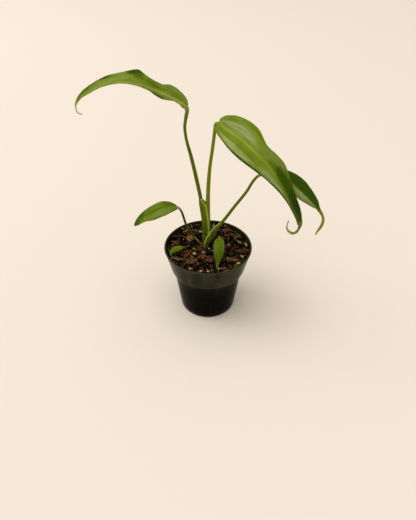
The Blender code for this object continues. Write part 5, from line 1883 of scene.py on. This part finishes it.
@dataclass
class PottingMix:
    """Bark mix: a dark lumpy body with bark, grains and fibres lying in it.

    relief, lump: height and size of the lumps.
    bank, collar: how far it rises towards the back and all round at the wall.
    mound_height, mound_radius: of the mound round the stem.
    stem_clear: how far from the stem's middle the loose pieces stay.
    seedlings: the seedling leaves' feet, as place and radius.
    wall_gap, plug_gap: between the pot's wall and the mix's top or its plug.
    skirt: height of the rim below the lumpy top.
    plug_turn, plug_rise: heights of the plug's shoulder and foot over the wall's.
    crumb, cell: sizes of the crumbs and of the flat specks in its surface.
    piece_room: shares of a piece's length that stay clear of wall, stem and seedlings.
    """

    pot: Pot
    level: float = 0.0730
    relief: float = 0.0009
    lump: float = 0.0065
    bank: float = 0.0018
    collar: float = 0.0014
    mound_height: float = 0.0010
    mound_radius: float = 0.0160
    stem: Span = (-0.0024, 0.0048)
    stem_clear: float = 0.0050
    seedlings: tuple[Point, ...] = ((-0.0376, -0.0128, 0.0015), (0.0088, -0.0300, 0.0014))
    wall_gap: float = 0.0002
    plug_gap: float = 0.0004
    skirt: float = 0.0030
    plug_turn: float = 0.0016
    plug_rise: float = 0.0024
    crumb: float = 0.0017
    crumb_height: float = 0.00045
    cell: float = 0.0012
    cell_height: float = 0.00018
    fine_drop: float = 0.0004
    piece_room: Point = (0.85, 0.6, 0.8)
    points_across: int = 150
    models: int = 7
    pattern_step: float = 0.013
    seed: int = 23
    draw: random.Random = field(init=False)
    ground: Surface = field(init=False)

    def __post_init__(self) -> None:
        """Start the draw and the running surface."""
        self.draw = random.Random(self.seed)
        self.ground = Surface(self.height)

    def height(self, x: float, y: float) -> float:
        """Height of the mix's own surface.

        Args:
            x: place to the right.
            y: place to the back.

        Returns:
            The height.
        """
        lumps = noise.fractal(Vector((x, y, 0.0)) / self.lump, 1.0, 2.0, 3)
        mound = self.mound_height * bell(math.dist((x, y), self.stem) / self.mound_radius)
        bank = self.bank * max(0.0, y / self.pot.rim) ** 1.5
        collar = self.collar * (math.hypot(x, y) / self.pot.rim) ** 8
        return self.level + mound + bank + collar + self.relief * lumps

    def _fine_height(self, x: float, y: float) -> float:
        """Height of the mix with its crumbs.

        Args:
            x: place to the right.
            y: place to the back.

        Returns:
            The height.
        """
        spot = Vector((x, y, 0.0))
        crumbs = noise.fractal(spot / self.crumb, 0.8, 2.1, 3)
        cells = noise.cell(spot / self.cell)
        fine = self.crumb_height * crumbs + self.cell_height * cells
        return self.height(x, y) + fine - self.fine_drop

    @staticmethod
    def _loosen(spot: Vector, kind: Crumb, number: int) -> Vector:
        """Move one point of a loose piece off its plain form.

        Args:
            spot: the point.
            kind: what the piece is.
            number: which of the kind's models it is.

        Returns:
            The moved point.
        """
        if kind is Crumb.GRAIN:
            lump = noise.noise(spot * 1.1 + Vector((number * 7.0, 0, 0)))
            return spot * (0.86 + 0.34 * lump)
        if kind is Crumb.FIBRE:
            spot.y *= 0.55 + 0.45 * (1 - abs(spot.x))
            spot.z += 0.8 * math.sin(spot.x * 2.1 + number)
            return spot
        outline = 1.0 - 0.30 * abs(spot.x * spot.y) ** 1.5
        ragged = noise.noise(Vector((spot.x * 1.3, spot.y * 1.3, number * 5.0)))
        spot.x *= outline * (1 + 0.22 * ragged)
        spot.y *= outline * (1 + 0.34 * noise.noise(Vector((spot.x * 1.9, number * 3.0, 0.0))))
        spot.z *= 1.0 - 0.35 * (spot.x ** 2 + spot.y ** 2) / 2
        spot.z += 0.55 * noise.noise(Vector((spot.x * 1.6, spot.y * 1.6, number * 9.0)))
        return spot

    def _model(self, kind: Crumb, number: int) -> tuple[np.ndarray, list[tuple[int, ...]]]:
        """Model one loose piece of a kind by hand, in the middle and twice as large as 1.

        Args:
            kind: what it is.
            number: which of the kind's models it is.

        Returns:
            Its points and its faces.
        """
        Bench.clear()
        if kind is Crumb.GRAIN:
            bpy.ops.mesh.primitive_ico_sphere_add(subdivisions=2, radius=1.0)
        else:
            bpy.ops.mesh.primitive_cube_add(size=2.0)
            Bench.edit()
            bpy.ops.mesh.subdivide(number_cuts=2 if kind is Crumb.BARK else 1)
            bpy.ops.object.mode_set(mode="OBJECT")
        item = Bench.named(f"{kind.value}_model_{number}")
        for vert in item.data.vertices:
            vert.co = self._loosen(vert.co.copy(), kind, number)
        points = np.array([vert.co for vert in item.data.vertices], float)
        faces = [tuple(face.vertices) for face in item.data.polygons]
        bpy.data.objects.remove(item, do_unlink=True)
        return points, faces

    def _free(self, x: float, y: float, reach: float) -> bool:
        """Tell whether a piece fits clear of the wall, the stem and the seedling leaves.

        Args:
            x: place of its middle to the right.
            y: and to the back.
            reach: its half length.

        Returns:
            Whether it fits.
        """
        at_wall, at_stem, at_foot = (reach * share for share in self.piece_room)
        if math.hypot(x, y) + at_wall > self.pot.inside(self.level) - self.wall_gap:
            return False
        if math.dist((x, y), self.stem) < self.stem_clear + at_stem:
            return False
        return all(math.dist((x, y), foot[:2]) > foot[2] + at_foot for foot in self.seedlings)

    def _strew(self, batch: Crumbling) -> list[tuple[Placed, float]]:
        """Place one kind of loose piece by a seeded draw, each with its share that is sunk.

        Args:
            batch: the pieces to place.

        Returns:
            Each piece with the share of its height that is sunk.
        """
        found = []
        while len(found) < batch.count:
            length = self.draw.uniform(*batch.half_length) * self.draw.uniform(0.7, 1.0)
            half = (length, length * self.draw.uniform(*batch.slimness),
                    self.draw.uniform(*batch.half_height))
            radius = self.pot.inside(self.level) * math.sqrt(self.draw.uniform(batch.ring, 1.0))
            turn = self.draw.uniform(0, math.tau)
            x, y = radius * math.cos(turn), radius * math.sin(turn)
            if not self._free(x, y, length):
                continue
            found.append((Placed(batch.kind, x, y, half, self.draw.uniform(0, math.tau),
                                 self.draw.uniform(*batch.tones), self.draw.random(), batch.tilt),
                          self.draw.uniform(*batch.sunk)))
        return found

    def _pile(self, heap: Heap, pieces: list[tuple[Placed, float]]) -> bpy.types.Object:
        """Copy modelled pieces to their places and join them into one mesh.

        Args:
            heap: the mesh to make.
            pieces: its pieces, each with its share that is sunk.

        Returns:
            The mesh's object.
        """
        shapes = [self._model(pieces[0][0].kind, number) for number in range(self.models)]
        places, faces, rows = [], [], []
        count = 0
        for number, (piece, sunk) in enumerate(pieces):
            points, shape_faces = shapes[number % len(shapes)]
            middle = self.ground.settle(piece, sunk)
            lean = Matrix.Rotation(piece.turn, 3, "Z")
            for axis in "XY":
                angle = self.draw.uniform(-piece.tilt, piece.tilt)
                lean = lean @ Matrix.Rotation(angle, 3, axis)
            sized = points * np.array(piece.half)
            places.append(sized @ np.array(lean).T + np.array((piece.x, piece.y, middle)))
            faces += [tuple(k + count for k in face) for face in shape_faces]
            tones = np.tile((piece.tone, piece.hue), (len(points), 1))
            border = np.abs(points[:, :2]).max(axis=1)
            # The points' own heights let the material paint shade on each piece's lower sides.
            rows.append(np.column_stack((tones, points[:, 2], border,
                                         sized + number * self.pattern_step)))
            count += len(points)
        mesh = bpy.data.meshes.new(heap.name)
        mesh.from_pydata(np.concatenate(places).tolist(), [], faces)
        item = bpy.data.objects.new(heap.name, mesh)
        bpy.context.scene.collection.objects.link(item)
        table = np.concatenate(rows)
        Bench.measure(item, tone=table[:, 0], hue=table[:, 1], lift=table[:, 2],
                      border=table[:, 3], own=table[:, 4:])
        Bench.dress(item, 18.0, heap.finish.material())
        return item

    def _body(self) -> bpy.types.Object:
        """Build the mix's body: a finely lumpy top over a plain plug down to the pot's floor.

        Returns:
            The body.
        """
        count = self.points_across
        radius = self.pot.inside(self.level) - self.wall_gap
        line = np.linspace(-1.0, 1.0, count)
        v, u = np.meshgrid(line, line, indexing="ij")
        x = (radius * u * np.sqrt(1 - v * v / 2)).ravel()
        y = (radius * v * np.sqrt(1 - u * u / 2)).ravel()
        z = np.array([self._fine_height(a, b) for a, b in zip(x, y)])
        item = Bench.grid("mix_body", count, count, np.stack([x, y, z], axis=1))
        Bench.edit()
        bpy.ops.mesh.region_to_loop()
        step = self.pot.band_bottom
        brim = self.level - self.skirt
        bottom = self.pot.floor_top + self.plug_rise
        for level, beside in ((brim, brim), (step + self.plug_turn, step + self.pot.wall),
                              (step + self.plug_gap, step), (bottom, bottom)):
            Bench.extrude(-self.skirt)
            bpy.ops.object.mode_set(mode="OBJECT")
            for vert in item.data.vertices:
                if vert.select:
                    flat = vert.co.xy.normalized() * (self.pot.inside(beside) - self.plug_gap)
                    vert.co = (flat.x, flat.y, level)
            bpy.ops.object.mode_set(mode="EDIT")
        bpy.ops.mesh.edge_face_add()
        Bench.face_outwards()
        Bench.dress(item, 45.0, GroundFinish().material())
        return item

    def build(self) -> None:
        """Build and hand over the mix and everything that lies in it."""
        items = [self._body()]
        strewn = [sum((self._strew(batch) for batch in heap.strewn), []) for heap in HEAPS]
        for heap, pieces in zip(HEAPS, strewn):
            pieces += [(piece, heap.sunk) for piece in heap.placed]
            items.append(self._pile(heap, pieces))
        for item in items:
            hand_over(item, "potting_mix", "potting_mix")


# Stem

@dataclass(frozen=True)
class Stem:
    """Short ringed stub that the stalks stand on, rooted in the mix.

    taper: share of its size that it has at the bottom.
    core: share of its size that is left between its rings and knobs.
    ring_height, ring_spacing: of its rings, the height as a share of its size.
    knob_height, knob_rate: of its knobs, the height as a share of its size, and knobs a metre.
    """

    centre: Span = (-0.0024, 0.0048)
    size: Span = (0.0048, 0.0049)
    bottom: float = 0.0500
    top: float = 0.0738
    taper: float = 0.6
    core: float = 0.97
    ring_height: float = 0.03
    ring_spacing: float = 0.0024
    knob_height: float = 0.05
    knob_rate: float = 420.0
    facets: int = 40
    cuts: int = 22

    def build(self) -> None:
        """Build, dress and hand over the stem."""
        height = self.top - self.bottom
        Bench.clear()
        bpy.ops.mesh.primitive_cylinder_add(
            vertices=self.facets, radius=1.0, depth=height,
            location=(*self.centre, self.bottom + height / 2))
        item = Bench.named("stem_stub")
        bpy.ops.object.transform_apply(location=True, rotation=False, scale=False)
        Bench.edit()
        bpy.ops.mesh.select_all(action="DESELECT")
        Bench.select_edges(item, lambda a, b: abs(a.z - b.z) > height / 2)
        bpy.ops.mesh.subdivide(number_cuts=self.cuts)
        bpy.ops.object.mode_set(mode="OBJECT")
        for vert in item.data.vertices:
            share = (vert.co.z - self.bottom) / height
            ring = self.ring_height * math.cos(
                math.tau * (self.top - vert.co.z) / self.ring_spacing)
            knobs = self.knob_height * noise.noise(vert.co * self.knob_rate)
            grow = (self.taper + (1 - self.taper) * share) * (self.core + ring * share + knobs)
            for axis in (0, 1):
                out = (vert.co[axis] - self.centre[axis]) * self.size[axis] * grow
                vert.co[axis] = self.centre[axis] + out
        Bench.dress(item, 40.0, StemFinish().material())
        hand_over(item, "stem_green", "stem")


# Studio

@dataclass(frozen=True)
class Softbox:
    """One soft light: where it hangs, what it looks at, its size, strength and tint."""

    name: str
    place: Point
    aim: Point
    size: Span
    strength: float
    tint: Colour

    def lamp(self) -> bpy.types.Light:
        """Make a panel of the light's size.

        Returns:
            The light's data.
        """
        data = bpy.data.lights.new(self.name, "AREA")
        data.shape = "RECTANGLE"
        data.size, data.size_y = self.size
        return data

    def build(self) -> None:
        """Hang the light at its place, turned towards what it looks at."""
        data = self.lamp()
        data.energy = self.strength
        data.color = self.tint
        item = bpy.data.objects.new(self.name, data)
        item.location = self.place
        way = Vector(self.aim) - Vector(self.place)
        item.rotation_euler = way.to_track_quat("-Z", "Y").to_euler()
        bpy.context.scene.collection.objects.link(item)


@dataclass(frozen=True)
class Skylight(Softbox):
    """Wide even light from one side of the ceiling; its size is its angle in degrees."""

    def lamp(self) -> bpy.types.Light:
        """Make a far light that is as wide as its angle.

        Returns:
            The light's data.
        """
        data = bpy.data.lights.new(self.name, "SUN")
        data.angle = math.radians(self.size[0])
        return data


LIGHTS = (
    Skylight("ceiling", (-0.30, -0.10, 1.0), (0.0, 0.0, 0.0), (80.0, 80.0), 1.25,
             (1.0, 0.95, 0.88)),
    Softbox("window_left", (-2.8, 0.6, 2.4), (0.0, 0.1, 0.0), (2.4, 2.4), 36.0,
            (0.96, 0.98, 1.0)),
)


@dataclass(frozen=True)
class Studio:
    """Camera at the photo's angle, plain pale floor, soft light.

    focal_pixels, long_side: focal length and longer side of the photo, both in its pixels.
    """

    place: Point = (0.0, -0.333, 0.341)
    pitch: float = 40.4
    roll: float = 0.43
    focal_pixels: float = 412.0
    long_side: int = 520
    sensor: float = 36.0
    floor_size: float = 40.0
    floor: Colour = (0.86, 0.79, 0.705)
    air: Colour = (1.0, 0.94, 0.86)
    air_strength: float = 0.56

    def camera(self) -> None:
        """Add the camera."""
        data = bpy.data.cameras.new("camera")
        data.sensor_width = self.sensor
        data.lens = self.focal_pixels * self.sensor / self.long_side
        item = bpy.data.objects.new("camera", data)
        pitch, roll = math.radians(self.pitch), math.radians(self.roll)
        forward = Vector((0.0, math.cos(pitch), -math.sin(pitch)))
        up = Vector((0.0, math.sin(pitch), math.cos(pitch)))
        right = Vector((1.0, 0.0, 0.0))
        turned_right = right * math.cos(roll) + up * math.sin(roll)
        turned_up = up * math.cos(roll) - right * math.sin(roll)
        turned = Matrix((turned_right, turned_up, -forward)).transposed().to_4x4()
        item.matrix_world = Matrix.Translation(Vector(self.place)) @ turned
        bpy.context.scene.collection.objects.link(item)
        bpy.context.scene.camera = item

    def ground(self) -> None:
        """Add the floor, a wide flat sheet."""
        Bench.clear()
        bpy.ops.mesh.primitive_plane_add(size=self.floor_size)
        item = Bench.named("studio_floor")
        sheet = Sheet("studio floor")
        item.data.materials.append(sheet.coat_with(
            Base_Color=self.floor, Roughness=0.85, Specular_IOR_Level=0.1))

    def air_light(self) -> None:
        """Light the room evenly."""
        world = bpy.data.worlds.new("studio air")
        world.use_nodes = True
        node = world.node_tree.nodes["Background"]
        node.inputs["Color"].default_value = (*self.air, 1.0)
        node.inputs["Strength"].default_value = self.air_strength
        bpy.context.scene.world = world

    def build(self) -> None:
        """Set up the whole studio."""
        bpy.context.scene.view_settings.view_transform = "Standard"
        self.camera()
        self.ground()
        self.air_light()
        for light in LIGHTS:
            light.build()


LEAVES = {"leaf_1": TALL_LEFT, "leaf_2": BROAD_RIGHT, "leaf_3": HANGING_RIGHT,
          "leaf_4": SHORT_LEFT, "seedling_left": SEEDLING_LEFT, "seedling_front": SEEDLING_FRONT}


def main() -> None:
    """Build the pot, the mix, the stem and every leaf, and set up the studio."""
    logging.basicConfig(level=logging.INFO, format="%(name)s: %(message)s")
    pot = Pot()
    pot.build()
    PottingMix(pot).build()
    Stem().build()
    for name, leaf in LEAVES.items():
        LeafMaker(name, leaf).build()
    Studio().build()


if __name__ == "__main__":
    main()
